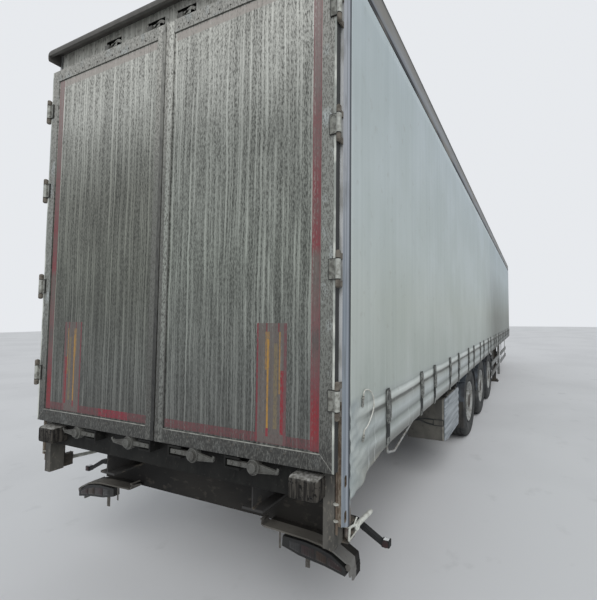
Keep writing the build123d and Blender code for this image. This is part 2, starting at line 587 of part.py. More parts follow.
# Underride bumper: a deep beam bolted up under the main rails, with a bent plate behind each end
with BuildPart() as underride_bumper:
    plate_rear = DOOR_Y + 250
    beam_rear = DOOR_Y + 350
    beam_front = DOOR_Y + 450
    beam_half = 1060
    beam_low = 606
    horn_front = beam_rear + 14     # the outer end of each bent plate reaches past the beam
    upper = [(620, 628), (930, 618), (1020, 608), (1106, 590), (1203, 543), (1214, 476)]
    lower = [(1204, 476), (1193, 536), (1102, 580), (1018, 598), (930, 608), (620, 618)]
    block((-beam_half, beam_half), (beam_rear, beam_front), (beam_low, RAIL_BOTTOM))
    for side in SIDES:
        end_profile((plate_rear, beam_rear), [(side * x, z) for x, z in upper + lower])
        horn = upper[3:] + lower[:3]
        end_profile((beam_rear, horn_front), [(side * x, z) for x, z in horn])
        block(on_side(side, 1202, 1212), (beam_rear - 66, horn_front), (437, 500))
        block(on_side(side, 898, 926), (plate_rear + 36, plate_rear + 42), (430, 612))
save(underride_bumper, "underride_bumper")

# Rear lamps: a tapered lamp box under the bent plate at each end
with BuildPart() as rear_lamps:
    lamp_outline = [(772, 606), (768, 550), (892, 522), (1059, 505), (1186, 482), (1190, 520),
                    (1100, 575), (1018, 594), (930, 604)]
    for side in SIDES:
        end_profile((plate_rear - 12, plate_rear + 28), [(side * x, z) for x, z in lamp_outline])
save(rear_lamps, "rear_lamps")

# Rubber buffers on the crossbar
with BuildPart() as dock_buffers:
    for side in SIDES:
        block(on_side(side, 1008, 1184), (DOOR_Y - 25, PORTAL_REAR), (985, 1100))
        block(on_side(side, 1008, POST_IN), (PORTAL_REAR, CROSSBAR_REAR), (985, 1100))
save(dock_buffers, "dock_buffers")

# Marker lamps on rubber arms, bolted to the ends of the bumper's beam
with BuildPart() as marker_lamps:
    for side in SIDES:
        arm_y = beam_rear + 41
        arm = [(beam_half, 684), (beam_half, 716), (1176, 708), (1346, 616), (1346, 590), (1176, 676)]
        end_profile((arm_y - 13, arm_y + 13), [(side * x, z) for x, z in arm])
        block(on_side(side, 1340, 1386), (arm_y - 16, arm_y + 16), (590, 627))
save(marker_lamps, "marker_lamps")

# Boarding bar: a bent rod under the right side rail
with BuildPart() as boarding_bar:
    with BuildLine() as bar_path:
        FilletPolyline((1242, DOOR_Y + 655, SIDE_RAIL_BOTTOM), (1242, DOOR_Y + 690, 982),
                       (1242, DOOR_Y + 812, 950), (1242, DOOR_Y + 1430, SIDE_RAIL_BOTTOM + 9), radius=30)
    with BuildSketch(bar_path.line ^ 0):
        Circle(9)
    sweep(path=bar_path.line)
    split(bisect_by=Plane.XY.offset(SIDE_RAIL_BOTTOM), keep=Keep.BOTTOM)
save(boarding_bar, "boarding_bar")

# Side box: an open-fronted box on two bars from the main rail, and its bottom-hinged lid
BOX_X = (800, 1222)
BOX_Y = (DOOR_Y + 2330, DOOR_Y + 3070)
BOX_Z = (505, 955)
LID_PIN = (1244, 513)
with BuildPart() as toolbox:
    block(BOX_X, BOX_Y, BOX_Z)
    block((BOX_X[0] + 8, BOX_X[1] + 1), (BOX_Y[0] + 8, BOX_Y[1] - 8), (BOX_Z[0] + 8, BOX_Z[1] - 8),
          mode=Mode.SUBTRACT)
    for y in (BOX_Y[0] + 130, BOX_Y[1] - 130):
        block((RAIL_X + RAIL_WEB / 2, BOX_X[1]), (y - 20, y + 20), (BOX_Z[1], BOX_Z[1] + 40))
        block((1216, 1240), (y - 20, y + 20), (BOX_Z[1] + 40, SIDE_RAIL_BOTTOM))
save(toolbox, "toolbox")

with BuildPart() as toolbox_lid:
    block((BOX_X[1] + 5, BOX_X[1] + 15), BOX_Y, (LID_PIN[1] - 6, BOX_Z[1] + 4))
    rod_y(LID_PIN[0], (BOX_Y[0] + 60, BOX_Y[1] - 60), LID_PIN[1], 7)
    for z in (590, 675, 760, 845, 925):
        block((BOX_X[1] + 15, BOX_X[1] + 21), BOX_Y, (z - 16, z + 16))
save(toolbox_lid, "toolbox_lid")

# Air tanks between the main rails, each hung from a cross member
with BuildPart() as air_tanks:
    for y in (CROSS_Y[12], CROSS_Y[13]):
        rod_x((-480, 480), y, 900, 125)
        for x in (-320, 320):
            block((x - 20, x + 20), (y - 8, y + 8), (1015, CROSS_BOTTOM))
save(air_tanks, "air_tanks")

# Coupling panel: brake line couplings and electric sockets on the front beam
with BuildPart() as coupling_panel:
    block((-280, 280), (WALL_REAR + 6, WALL_REAR + 12), (1115, 1215))
    for x in (-220, -110, 0, 110, 220):
        rod_y(x, (WALL_REAR + 12, WALL_REAR + 52), 1165, 24)
save(coupling_panel, "coupling_panel")
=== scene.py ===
import bmesh
import bpy
import math
import numpy as np
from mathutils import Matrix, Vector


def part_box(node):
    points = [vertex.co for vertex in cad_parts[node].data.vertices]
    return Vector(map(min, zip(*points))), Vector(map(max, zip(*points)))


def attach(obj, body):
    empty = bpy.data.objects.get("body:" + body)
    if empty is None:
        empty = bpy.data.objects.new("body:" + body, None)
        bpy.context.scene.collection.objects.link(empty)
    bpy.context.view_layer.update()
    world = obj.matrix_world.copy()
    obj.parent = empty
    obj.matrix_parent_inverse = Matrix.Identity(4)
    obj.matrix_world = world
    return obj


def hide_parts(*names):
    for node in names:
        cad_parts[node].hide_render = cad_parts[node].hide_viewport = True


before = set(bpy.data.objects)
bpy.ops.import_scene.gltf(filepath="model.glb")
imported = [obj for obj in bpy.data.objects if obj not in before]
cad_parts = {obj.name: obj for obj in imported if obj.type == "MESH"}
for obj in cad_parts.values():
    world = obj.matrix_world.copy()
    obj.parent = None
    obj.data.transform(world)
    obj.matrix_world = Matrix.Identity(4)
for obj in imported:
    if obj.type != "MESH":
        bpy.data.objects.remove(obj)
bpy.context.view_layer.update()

# The camera stands at eye height behind the right rear corner, close to the doors, and looks
# forwards along the curtain. Its wide lens and sideways shift give the photograph's frame.
camera_data = bpy.data.cameras.new("camera")
camera = bpy.data.objects.new("camera", camera_data)
bpy.context.scene.collection.objects.link(camera)
bpy.context.scene.camera = camera
DOOR_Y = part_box("door_right_panel")[0][1]
camera.location = (2.1489, DOOR_Y - 1.4447, 1.8774)
camera_yaw, camera_pitch, camera_roll = -0.365, 0.0484, -0.0023
camera.rotation_euler = (math.pi / 2 + camera_pitch, -camera_roll, -camera_yaw)
camera_data.lens = 20.62
camera_data.shift_x = -0.169
camera_data.clip_end = 200


# The loose cord: stiff white braided line, 7 mm thick. It leaves the ferrule of a sewn strap on
# the right curtain upwards, bows out and goes back down into a second ferrule below.
def linear(red, green, blue):
    """A colour written as 0 to 255, turned into the linear light that shaders work in."""
    share = np.array([red, green, blue]) / 255
    return tuple(np.where(share > 0.04045, ((share + 0.055) / 1.055) ** 2.4, share / 12.92)) + (1.0,)


def fresh_finish(name, roughness, metallic=0.0):
    """An empty finish: the material, its shader and its Object coordinates."""
    finish = bpy.data.materials.new(name)
    finish.use_nodes = True
    nodes = finish.node_tree.nodes
    shader = nodes["Principled BSDF"]
    shader.inputs["Roughness"].default_value = roughness
    shader.inputs["Metallic"].default_value = metallic
    return finish, shader, nodes.new("ShaderNodeTexCoord").outputs["Object"]


def joined(kind, plugs, **settings):
    """A node of this kind beside the first output in plugs, which gives each of its inputs an
    output, a number or a vector; settings are the node's own."""
    tree = next(value.id_data for value in plugs.values() if isinstance(value, bpy.types.NodeSocket))
    node = tree.nodes.new(kind)
    for setting, value in settings.items():
        setattr(node, setting, value)
    for place, value in plugs.items():
        if isinstance(value, bpy.types.NodeSocket):
            tree.links.new(value, node.inputs[place])
        else:
            node.inputs[place].default_value = value
    return node


def grain(at, scale, stretch=(1, 1, 1), detail=5.0):
    """Cloudy noise from 0 to 1: noise(at * stretch * scale)."""
    place = joined("ShaderNodeMapping", {"Vector": at, "Scale": stretch}).outputs["Vector"]
    return joined("ShaderNodeTexNoise", {"Vector": place, "Scale": scale, "Detail": detail}).outputs["Fac"]


def shades(share, *stops):
    """A colour ramp over (place, colour) stops; one number is a grey."""
    node = joined("ShaderNodeValToRGB", {"Fac": share})
    ramp = node.color_ramp.elements
    while len(ramp) < len(stops):
        ramp.new(0.5)
    for element, (place, colour) in zip(ramp, stops):
        element.position = place
        element.color = linear(*colour) if isinstance(colour, tuple) else (colour, colour, colour, 1)
    return node.outputs["Color"]


def over(share, below, above, how="MIX"):
    """below with above laid over it by share."""
    below, above = (linear(*tone) if isinstance(tone, tuple) else tone for tone in (below, above))
    plugs = {"Factor": share, "A": below, "B": above}
    return joined("ShaderNodeMix", plugs, data_type="RGBA", blend_type=how).outputs["Result"]


def patched(noise, start, full, below, above, share=1):
    """below with above laid over it where the noise rises from start to full, by share at most."""
    return over(shades(noise, (start, 0), (full, share)), below, above)


def coat(shader, colour, height, depth):
    """Gives a shader its colour, and a bump of this depth, in metres, where height is 1."""
    bump = joined("ShaderNodeBump", {"Height": height, "Distance": depth}).outputs["Normal"]
    for output, name in ((colour, "Base Color"), (bump, "Normal")):
        height.id_data.links.new(output, shader.inputs[name])


def aged(name, base, patch, fleck, size=0.25, stretch=(1, 1, 1), roughness=0.6, metallic=0.0,
        worn=(0.45, 0.6), flecked=(0.62, 0.72), relief=0.0004):
    """A surface that has aged: patches of a second colour over the base, flecks of a third on top.

    patches = ramp(noise(stretch * Object / size), worn), flecks = ramp(noise(stretch * 9 * Object
    / size), flecked), and the bump is the flecks' noise times relief.
    """
    finish, shader, at = fresh_finish(name, roughness, metallic)
    fine = grain(at, 9 / size, stretch)
    colour = patched(grain(at, 1 / size, stretch), *worn, base, patch)
    coat(shader, patched(fine, *flecked, colour, fleck), fine, relief)
    return finish


CORD_THICK = 0.007
# The route, as X, Y from the doors, Z
cord_route = [(1.283, 0.262, 1.446), (1.283, 0.262, 1.466), (1.285, 0.29, 1.476), (1.287, 0.338, 1.46),
    (1.288, 0.374, 1.424), (1.288, 0.388, 1.38), (1.288, 0.377, 1.338), (1.287, 0.354, 1.31),
    (1.286, 0.326, 1.282), (1.285, 0.296, 1.264), (1.283, 0.266, 1.256), (1.283, 0.266, 1.236)]
cord_curve = bpy.data.curves.new("loose_cord", "CURVE")
cord_curve.dimensions = "3D"
cord_curve.bevel_depth = CORD_THICK / 2
cord_curve.use_fill_caps = True
cord_spline = cord_curve.splines.new("NURBS")
cord_spline.points.add(len(cord_route) - 1)
for point, (x, y, z) in zip(cord_spline.points, cord_route):
    point.co = (x, DOOR_Y + y, z, 1)
cord_spline.order_u = 3
cord_spline.use_endpoint_u = True
cord_spline.resolution_u = 8
loose_cord = bpy.data.objects.new("loose_cord", cord_curve)
bpy.context.scene.collection.objects.link(loose_cord)
cord_curve.materials.append(aged("braided_cord", (205, 205, 198), (178, 176, 166), (150, 146, 134),
    size=0.02, roughness=0.8))
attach(loose_cord, "chassis")
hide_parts("curtain_cord")


# The studio: a pale floor, a pale surround that the camera and gloss see, an even soft light
# from all round and a broad soft lamp high behind the right rear corner.
world = bpy.data.worlds.new("studio")
bpy.context.scene.world = world
world.use_nodes = True
sky = world.node_tree.nodes["Background"]
sky.inputs["Color"].default_value = (0.93, 0.96, 1.0, 1)
sky.inputs["Strength"].default_value = 0.62
backdrop = world.node_tree.nodes.new("ShaderNodeBackground")
backdrop.inputs["Color"].default_value = (0.8, 0.82, 0.85, 1)
backdrop.inputs["Strength"].default_value = 1.0
seen = world.node_tree.nodes.new("ShaderNodeLightPath")
choice = world.node_tree.nodes.new("ShaderNodeMixShader")
world.node_tree.links.new(seen.outputs["Is Camera Ray"], choice.inputs["Fac"])
world.node_tree.links.new(sky.outputs["Background"], choice.inputs[1])
world.node_tree.links.new(backdrop.outputs["Background"], choice.inputs[2])
world.node_tree.links.new(choice.outputs["Shader"], world.node_tree.nodes["World Output"].inputs["Surface"])
bpy.context.scene.view_settings.view_transform = "Standard"

daylight = bpy.data.lights.new("daylight", "SUN")
daylight.energy = 1.5
daylight.angle = math.radians(40)
lamp = bpy.data.objects.new("daylight", daylight)
lamp.rotation_euler = (math.radians(48), 0, math.radians(38))
bpy.context.scene.collection.objects.link(lamp)

FLOOR_REACH = 60
floor_mesh = bpy.data.meshes.new("studio_floor")
floor_mesh.from_pydata([(-FLOOR_REACH, -FLOOR_REACH, 0), (FLOOR_REACH, -FLOOR_REACH, 0),
    (FLOOR_REACH, FLOOR_REACH, 0), (-FLOOR_REACH, FLOOR_REACH, 0)], [], [(0, 1, 2, 3)])
studio_floor = bpy.data.objects.new("studio_floor", floor_mesh)
bpy.context.scene.collection.objects.link(studio_floor)
floor_mesh.materials.append(aged("pale_floor", (206, 207, 208), (200, 201, 202), (196, 197, 198), size=3.0,
    roughness=0.9))


# The frame: two welded I-beams with a cranked neck, 22 channel cross members let through their
# webs, and the hangers and arms of the three axles. Black paint, dull with road dust.
def shell(rings, ends=True, loop=False):
    """Rings of points joined one to the next: face (i, j) spans ring i to i + 1 and point j to
    j + 1, the ring closed; ends fills the first and last ring, loop joins them instead."""
    count, around = rings.shape[:2]
    ring, step = np.arange(count if loop else count - 1)[:, None], np.arange(around)[None, :]
    corners = [(ring, step), (ring, step + 1), (ring + 1, step + 1), (ring + 1, step)]
    at = [np.broadcast_to((a % count) * around + b % around, (len(ring), around)) for a, b in corners]
    faces = np.stack(at, -1).reshape(-1, 4).tolist()
    if ends and not loop:
        faces += [list(range(around)), list(range((count - 1) * around, count * around))]
    return rings.reshape(-1, 3), faces


def block(low, high, edge=0.003):
    """A block whose edges are cut at 45 degrees: an eight-cornered outline at four heights."""
    low, high = np.minimum(low, high), np.maximum(low, high)
    edge = min(edge, 0.45 * (high - low).min())
    half, middle = (high - low) / 2, (high + low) / 2
    corner = np.array([(1, 0), (0, 1), (0, 1), (1, 0), (1, 0), (0, 1), (0, 1), (1, 0)])
    sign = np.array([(1, 1), (1, 1), (-1, 1), (-1, 1), (-1, -1), (-1, -1), (1, -1), (1, -1)])
    rings = []
    for height, inset in ((-half[2], edge), (-half[2] + edge, 0), (half[2] - edge, 0), (half[2], edge)):
        flat = sign * (half[:2] - inset - edge * (1 - corner))
        rings.append(np.column_stack([flat + middle[:2], np.full(8, middle[2] + height)]))
    return shell(np.array(rings))


def turned(profile, centre, axis="z", steps=24):
    """A lathe shape: profile holds (radius, height) points, and point (i, j) is at angle
    2 pi j / steps round the axis through centre."""
    profile = np.array(profile, float)
    angle = np.arange(steps) * 2 * np.pi / steps
    local = np.stack([profile[:, :1] * np.cos(angle), profile[:, :1] * np.sin(angle),
        np.broadcast_to(profile[:, 1:], (len(profile), steps))], -1)
    return shell(np.roll(local, {"x": 1, "y": 2, "z": 0}[axis], -1) + np.array(centre))


def swept(path, section, up=(0, 0, 1)):
    """A section of (across, upward) points carried along a path: point (i, j) is path i plus
    section j in the plane square to the path there, with upward nearest to up."""
    path, section = np.array(path, float), np.array(section, float)
    along = np.gradient(path, axis=0)
    along /= np.linalg.norm(along, axis=1)[:, None]
    across = np.cross(along, up)
    across /= np.linalg.norm(across, axis=1)[:, None]
    upward = np.cross(across, along)
    spread = section[None, :, :1] * across[:, None] + section[None, :, 1:] * upward[:, None]
    return shell(path[:, None] + spread)


def round_section(radius, steps=10):
    """Points round a circle."""
    angle = np.arange(steps) * 2 * np.pi / steps
    return radius * np.column_stack([np.cos(angle), np.sin(angle)])


def flat_section(width, thick):
    """A thin rectangle with its corners cut."""
    cut = 0.3 * thick
    x, y = width / 2, thick / 2
    return [(x, -y + cut), (x, y - cut), (x - cut, y), (cut - x, y), (-x, y - cut), (-x, cut - y),
        (cut - x, -y), (x - cut, -y)]


def piece(name, shapes, finish, body="chassis", stands_for=(), sharp=32):
    """One object from several shapes of (points, faces): its faces are turned outwards and its
    edges below the sharp angle are shaded round."""
    counts = np.cumsum([0] + [len(points) for points, _ in shapes])
    faces = [[corner + start for corner in face] for (_, part), start in zip(shapes, counts)
        for face in part]
    mesh = bpy.data.meshes.new(name)
    mesh.from_pydata(np.concatenate([points for points, _ in shapes]).tolist(), [], faces)
    shape = bmesh.new()
    shape.from_mesh(mesh)
    bmesh.ops.recalc_face_normals(shape, faces=shape.faces)
    shape.to_mesh(mesh)
    shape.free()
    mesh.shade_smooth()
    mesh.set_sharp_from_angle(angle=math.radians(sharp))
    mesh.materials.append(finish)
    made = bpy.data.objects.new(name, mesh)
    bpy.context.scene.collection.objects.link(made)
    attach(made, body)
    if stands_for:
        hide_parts(*stands_for)
    return made


def dress(finish, *nodes):
    """Gives CAD nodes their finish."""
    for node in nodes:
        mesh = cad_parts[node].data
        mesh.materials.clear()
        mesh.materials.append(finish)


chassis_paint = aged("chassis_paint", (50, 49, 48), (74, 70, 64), (98, 90, 79), size=0.5,
    stretch=(1, 0.5, 1), roughness=0.7)
dress(chassis_paint, "main_rails", "cross_members", "suspension", "coupling_plate")
axle_paint = aged("axle_paint", (44, 43, 42), (70, 62, 54), (92, 70, 52), size=0.2, roughness=0.75)
dress(axle_paint, "axle_rear", "axle_middle", "axle_front")

# Every axle hangs on trailing arms, and the arms carry rubber bellows of three lobes between
# steel end plates.
bellows_rubber = aged("bellows_rubber", (34, 34, 34), (52, 50, 47), (78, 73, 66), size=0.1, roughness=0.8)
low, high = np.array(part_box("air_springs"))
BELLOWS_R = 0.135
AXLES = {"rear": DOOR_Y + 4.17, "middle": DOOR_Y + 5.48, "front": DOOR_Y + 6.79}
spring_y = {place: y + high[1] - BELLOWS_R - AXLES["front"] for place, y in AXLES.items()}
share = np.linspace(0, 1, 37)
lobes = np.column_stack([BELLOWS_R * (0.9 + 0.1 * np.abs(np.sin(3 * np.pi * share)) ** 0.6),
    low[2] + (high[2] - low[2]) * (0.05 + 0.9 * share)])


def mirrored(shapes):
    """The shapes of the right side, and the same again on the left."""
    return shapes + [(points * (-1, 1, 1), faces) for points, faces in shapes]


bellows, plates = [], []
for place, y in spring_y.items():
    centre = (high[0] - BELLOWS_R, y, 0)
    bellows.append(turned(lobes, centre, steps=36))
    for z in (low[2], high[2] - 0.008):
        plates.append(turned([(0.125, z), (0.128, z + 0.002), (0.128, z + 0.006), (0.125, z + 0.008)],
            centre, steps=28))
piece("bellows", mirrored(bellows), bellows_rubber, stands_for=["air_springs"])
piece("bellows_plates", mirrored(plates), axle_paint)


# Six single wheels: wide tubeless trailer tyres with four ribs between straight grooves, on
# pressed steel rims with ten nuts and a capped hub. The rubber is dusty, the rims are worn white.
TYRE_R, TYRE_X, BEAD_R = 0.528, 1.02, 0.286
RIB_EDGES = (-0.098, -0.036, 0.036, 0.098)
GROOVE_HALF, GROOVE_DEEP = 0.0065, 0.013
tyre_rubber, shader, at = fresh_finish("tyre_rubber", 0.85)
dust = grain(at, 7)
speckle = grain(at, 90)
colour = patched(dust, 0.4, 0.65, (40, 42, 43), (66, 67, 66))
colour = patched(speckle, 0.58, 0.7, colour, (88, 87, 83))
coat(shader, colour, speckle, 0.0004)

# Outline from the outer bead over the tread to the inner bead: (across, radius) points, the
# sidewall with three moulded rings and the tread with its grooves cut in.
wall_radius = np.array([BEAD_R, 0.3, 0.316, 0.322, 0.328, 0.352, 0.4, 0.43, 0.434, 0.444, 0.448, 0.478,
    0.506, 0.52])
wall_bulge = np.array([0.12, 0.14, 0.158, 0.165, 0.163, 0.178, 0.188, 0.1885, 0.19, 0.19, 0.187, 0.184,
    0.172, 0.158])
tread_x, tread_r = [-0.146], [TYRE_R - 0.001]
for edge in RIB_EDGES:
    tread_x += [edge - GROOVE_HALF - 0.002, edge - GROOVE_HALF, edge + GROOVE_HALF,
        edge + GROOVE_HALF + 0.002]
    tread_r += [TYRE_R, TYRE_R - GROOVE_DEEP, TYRE_R - GROOVE_DEEP, TYRE_R]
tread_x.append(0.146)
tread_r.append(TYRE_R - 0.001)
across = np.concatenate([-wall_bulge, tread_x, wall_bulge[::-1]])
radius = np.concatenate([wall_radius, tread_r, wall_radius[::-1]])
inner_x = np.array([0.118, 0.134, 0.156, 0.14])
inner_r = np.array([BEAD_R + 0.004, BEAD_R + 0.06, 0.42, TYRE_R - 0.04])
across = np.concatenate([across, inner_x, -inner_x[::-1]])
radius = np.concatenate([radius, inner_r, inner_r[::-1]])
STEPS = 156
angle = np.arange(STEPS) * 2 * np.pi / STEPS
# Every third step of the tread's shoulders is let in by 5 mm, which cuts it into blocks.
notch = np.where((np.arange(STEPS) % 3 == 0)[:, None] & (np.abs(across) > 0.135) & (radius > 0.5), 0.005, 0)
turn = radius[None, :] - notch
tyre_ring = np.stack([np.broadcast_to(across, turn.shape), turn * np.cos(angle)[:, None],
    turn * np.sin(angle)[:, None]], -1)
rim_paint = aged("rim_paint", (150, 152, 150), (122, 122, 118), (92, 84, 74), size=0.12, roughness=0.55,
    flecked=(0.56, 0.68))
hub_steel = aged("hub_steel", (78, 74, 68), (58, 52, 46), (96, 76, 56), size=0.05, roughness=0.7,
    metallic=0.2)
SIDES = ((1, "right"), (-1, "left"))
NUT_COUNT, NUT_CIRCLE, NUT_R = 10, 0.1675, 0.016
for place, y in AXLES.items():
    for side, hand in SIDES:
        wheel = f"wheel_{place}_{hand}"
        centre = np.array([side * TYRE_X, y, TYRE_R])
        tread = shell(tyre_ring * (side, 1, 1) + centre, loop=True)
        piece(f"tread_tyre_{place}_{hand}", [tread], tyre_rubber, wheel,
            [f"tyre_{place}_{hand}"], 40)
        dress(rim_paint, f"rim_{place}_{hand}")
        nuts = []
        face = side * 0.088
        for step in range(NUT_COUNT):
            bolt = 2 * math.pi * (step + 0.5) / NUT_COUNT
            spot = centre + (face, NUT_CIRCLE * math.cos(bolt), NUT_CIRCLE * math.sin(bolt))
            nuts.append(turned([(0.9 * NUT_R, 0), (NUT_R, side * 0.003), (NUT_R, side * 0.02),
                (0.8 * NUT_R, side * 0.024)], spot, "x", 6))
            nuts.append(turned([(0.01, side * 0.022), (0.01, side * 0.036), (0.007, side * 0.039)],
                spot, "x", 8))
        cap = [(0.1, 0.16), (0.1, 0.1715), (0.094, 0.1718), (0.07, 0.1719), (0.001, 0.1719)]
        nuts.append(turned([(r, side * h) for r, h in cap], centre, "x", 28))
        piece(f"hub_nuts_{place}_{hand}", nuts, hub_steel, wheel)


# Mudguards: a black moulded half hoop over each wheel with a rolled bead along both edges, clamped
# to two tubes from the frame and dusted blue-grey from the road. Rubber flaps hang at the rear.
guard_plastic = aged("guard_plastic", (52, 54, 57), (84, 92, 100), (96, 94, 88), size=0.3, roughness=0.7)
flap_rubber = aged("flap_rubber", (38, 38, 38), (66, 64, 60), (92, 88, 80), size=0.2, stretch=(3, 1, 0.5),
    roughness=0.85)
dress(guard_plastic, "mudguards")
dress(flap_rubber, "mudflaps")
GUARD_R, GUARD_SPAN, BEAD_THICK, HOOP_START = 0.575, (0.837, 1.207), 0.006, math.radians(5)
hoop = np.linspace(HOOP_START, math.pi - HOOP_START, 33)
beads = []
for y in AXLES.values():
    for x in GUARD_SPAN:
        rim_line = np.column_stack([np.full(len(hoop), x), y + GUARD_R * np.cos(hoop),
            TYRE_R + GUARD_R * np.sin(hoop)])
        beads.append(swept(rim_line, round_section(BEAD_THICK, 8), (1, 0, 0)))
    for lean in (40, 140):
        clamp = np.radians(np.linspace(lean - 3, lean + 3, 5))
        for x in (0.9, 1.14):
            strip = np.column_stack([np.full(5, x), y + (GUARD_R + 0.0035) * np.cos(clamp),
                TYRE_R + (GUARD_R + 0.0035) * np.sin(clamp)])
            beads.append(swept(strip, flat_section(0.04, 0.003), (1, 0, 0)))
piece("guard_beads", mirrored(beads), guard_plastic)

# Landing gear: two square steel legs on bolted plates, with sand shoes, a gearbox on the right
# leg, a folded crank handle and a cross shaft. Dark paint, rusty at the feet.
leg_paint = aged("leg_paint", (46, 47, 49), (68, 64, 58), (104, 82, 60), size=0.2, roughness=0.7)
dress(leg_paint, "landing_gear")
LEG_X, LEG_Y = 1.1, DOOR_Y + 9.0


def plate(outline, levels, axis):
    """An outline of two coordinates, set at both levels along the third axis and closed."""
    return shell(np.array([np.insert(outline, axis, level, 1) for level in levels]))


leg_parts = []
for half, low, high in ((0.072, 0.47, 0.5), (0.07, 1.075, 1.094)):
    leg_parts.append(block((LEG_X - half, LEG_Y - half, low), (LEG_X + half, LEG_Y + half, high)))
BOLT_HEAD = ((0.013, 0), (0.013, 0.009), (0.009, 0.012))
for z in (0.87, 0.92, 0.97, 1.02):
    for y in (-0.036, 0.036):
        leg_parts.append(turned(BOLT_HEAD, (0.667, LEG_Y + y, z), "x", 6))
# Ribs down to the shoe, front and rear
for end in (-1, 1):
    for across in (-0.06, 0.06):
        rib = np.array([(0, 0.024), (0.06, 0.024), (0.06, 0.03), (0.004, 0.058), (0, 0.058)])
        y = LEG_Y + end * (0.074 + rib[:, 0] * 0.5)
        ring = np.column_stack([y, rib[:, 1]])
        leg_parts.append(plate(ring, (LEG_X + across - 0.004, LEG_X + across + 0.004), 0))
leg_parts = mirrored(leg_parts)
leg_parts.append(block((1.165, LEG_Y - 0.062, 0.64), (1.19, LEG_Y + 0.062, 0.86), 0.01))
leg_parts.append(turned([(0.03, 0), (0.03, 0.012), (0.017, 0.014), (0.017, 0.026)],
    (1.19, LEG_Y + 0.01, 0.72), "x", 18))
crank = [(1.214, LEG_Y + 0.01, 0.72), (1.216, LEG_Y + 0.03, 0.722), (1.216, LEG_Y - 0.16, 0.77),
    (1.216, LEG_Y - 0.19, 0.778), (1.216, LEG_Y - 0.32, 0.775)]
leg_parts.append(swept(crank, round_section(0.009, 10), (1, 0, 0)))
piece("leg_fittings", leg_parts, leg_paint)

# Coupling: the greased pin stands in its plate under the neck. Two round hose couplings and three
# electric sockets sit on a panel on the front beam, each under a hinged spring cap.
pin_steel = aged("pin_steel", (92, 88, 82), (52, 48, 44), (120, 98, 72), size=0.04, roughness=0.4,
    metallic=0.6)
panel_zinc = aged("panel_zinc", (134, 136, 134), (112, 112, 108), (84, 78, 70), size=0.08, roughness=0.5,
    metallic=0.3)
dress(pin_steel, "kingpin")
dress(panel_zinc, "coupling_panel")
red_cap = aged("red_cap", (146, 38, 34), (116, 40, 36), (84, 60, 54), size=0.03)
yellow_cap = aged("yellow_cap", (186, 150, 42), (150, 124, 50), (96, 84, 60), size=0.03)
socket_black = aged("socket_black", (34, 34, 35), (50, 49, 47), (76, 72, 66), size=0.03)
SOCKET_FACE, SOCKET_Z, SOCKET_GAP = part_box("coupling_panel")[1][1], 1.165, 0.11
for step, (cap_name, finish) in enumerate((("yellow", yellow_cap), ("black_left", socket_black),
        ("black_middle", socket_black), ("black_right", socket_black), ("red", red_cap))):
    x = (step - 2) * SOCKET_GAP
    rings = [(0.0275, -0.026), (0.029, -0.024), (0.029, -0.01), (0.0275, -0.006), (0.025, -0.004),
        (0.025, -0.001), (0.012, 0.0)]
    hinge = block((x - 0.01, SOCKET_FACE - 0.04, SOCKET_Z + 0.024),
        (x + 0.01, SOCKET_FACE - 0.006, SOCKET_Z + 0.034))
    lid = [turned(rings, (x, SOCKET_FACE, SOCKET_Z), "y", 28), hinge]
    piece(f"coupling_cap_{cap_name}", lid, finish)

# Air tanks: two rolled cylinders with pressed domes, each held by two steel bands to a pair of
# hangers from its cross member. Black paint under dust.
tank_black = aged("tank_black", (38, 38, 40), (66, 63, 59), (92, 84, 74), size=0.25, roughness=0.6)
tank_low, tank_high = np.array(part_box("air_tanks"))
TANK_R = 0.125
tank_z = tank_low[2] + TANK_R
dome = np.linspace(0, 0.96 * np.pi / 2, 8)
dome_profile = np.column_stack([TANK_R * np.cos(dome), tank_high[0] - 0.06 + 0.06 * np.sin(dome)])
tank_profile = np.concatenate([dome_profile[::-1] * (1, -1), [(TANK_R, -0.405), (0.1235, -0.4),
    (0.1235, 0.4), (TANK_R, 0.405)], dome_profile])
tanks = []
for y in (tank_low[1] + TANK_R, tank_high[1] - TANK_R):
    tanks.append(turned(tank_profile, (0, y, tank_z), "x", 32))
    for x in (-0.32, 0.32):
        tanks.append(turned([(0.1225, x - 0.018), (0.125, x - 0.017), (0.125, x + 0.017),
            (0.1225, x + 0.018)], (0, y, tank_z), "x", 32))
        tanks.append(block((x - 0.018, y - 0.006, tank_z + 0.118), (x + 0.018, y + 0.006, tank_high[2])))
    tanks.append(turned([(0.012, -0.13), (0.012, -0.12), (0.007, -0.118)], (0, y, tank_z + 0.008), "z", 8))
piece("domed_tanks", tanks, tank_black, stands_for=["air_tanks"])

# The deck: brown phenolic boards laid lengthwise on the cross members and screwed down. They are
# scuffed grey by loads, and there is a dark joint every 0.3 m.
BOARD_WAVE = 0.166
deck, shader, at = fresh_finish("deck_board", 0.75)
fibre = grain(at, 6, (30, 0.6, 1))
scuff = grain(at, 2.5, (2, 0.7, 1))
wave = joined("ShaderNodeTexWave", {"Vector": at, "Scale": BOARD_WAVE}, wave_profile="SAW",
    bands_direction="X").outputs
colour = over(fibre, (84, 60, 44), (112, 86, 66))
colour = patched(scuff, 0.42, 0.62, colour, (128, 120, 108), 0.8)
colour = over(shades(wave["Fac"], (0.0, 1), (0.02, 0)), colour, (30, 26, 24))
coat(shader, colour, fibre, 0.0006)
dress(deck, "floor")

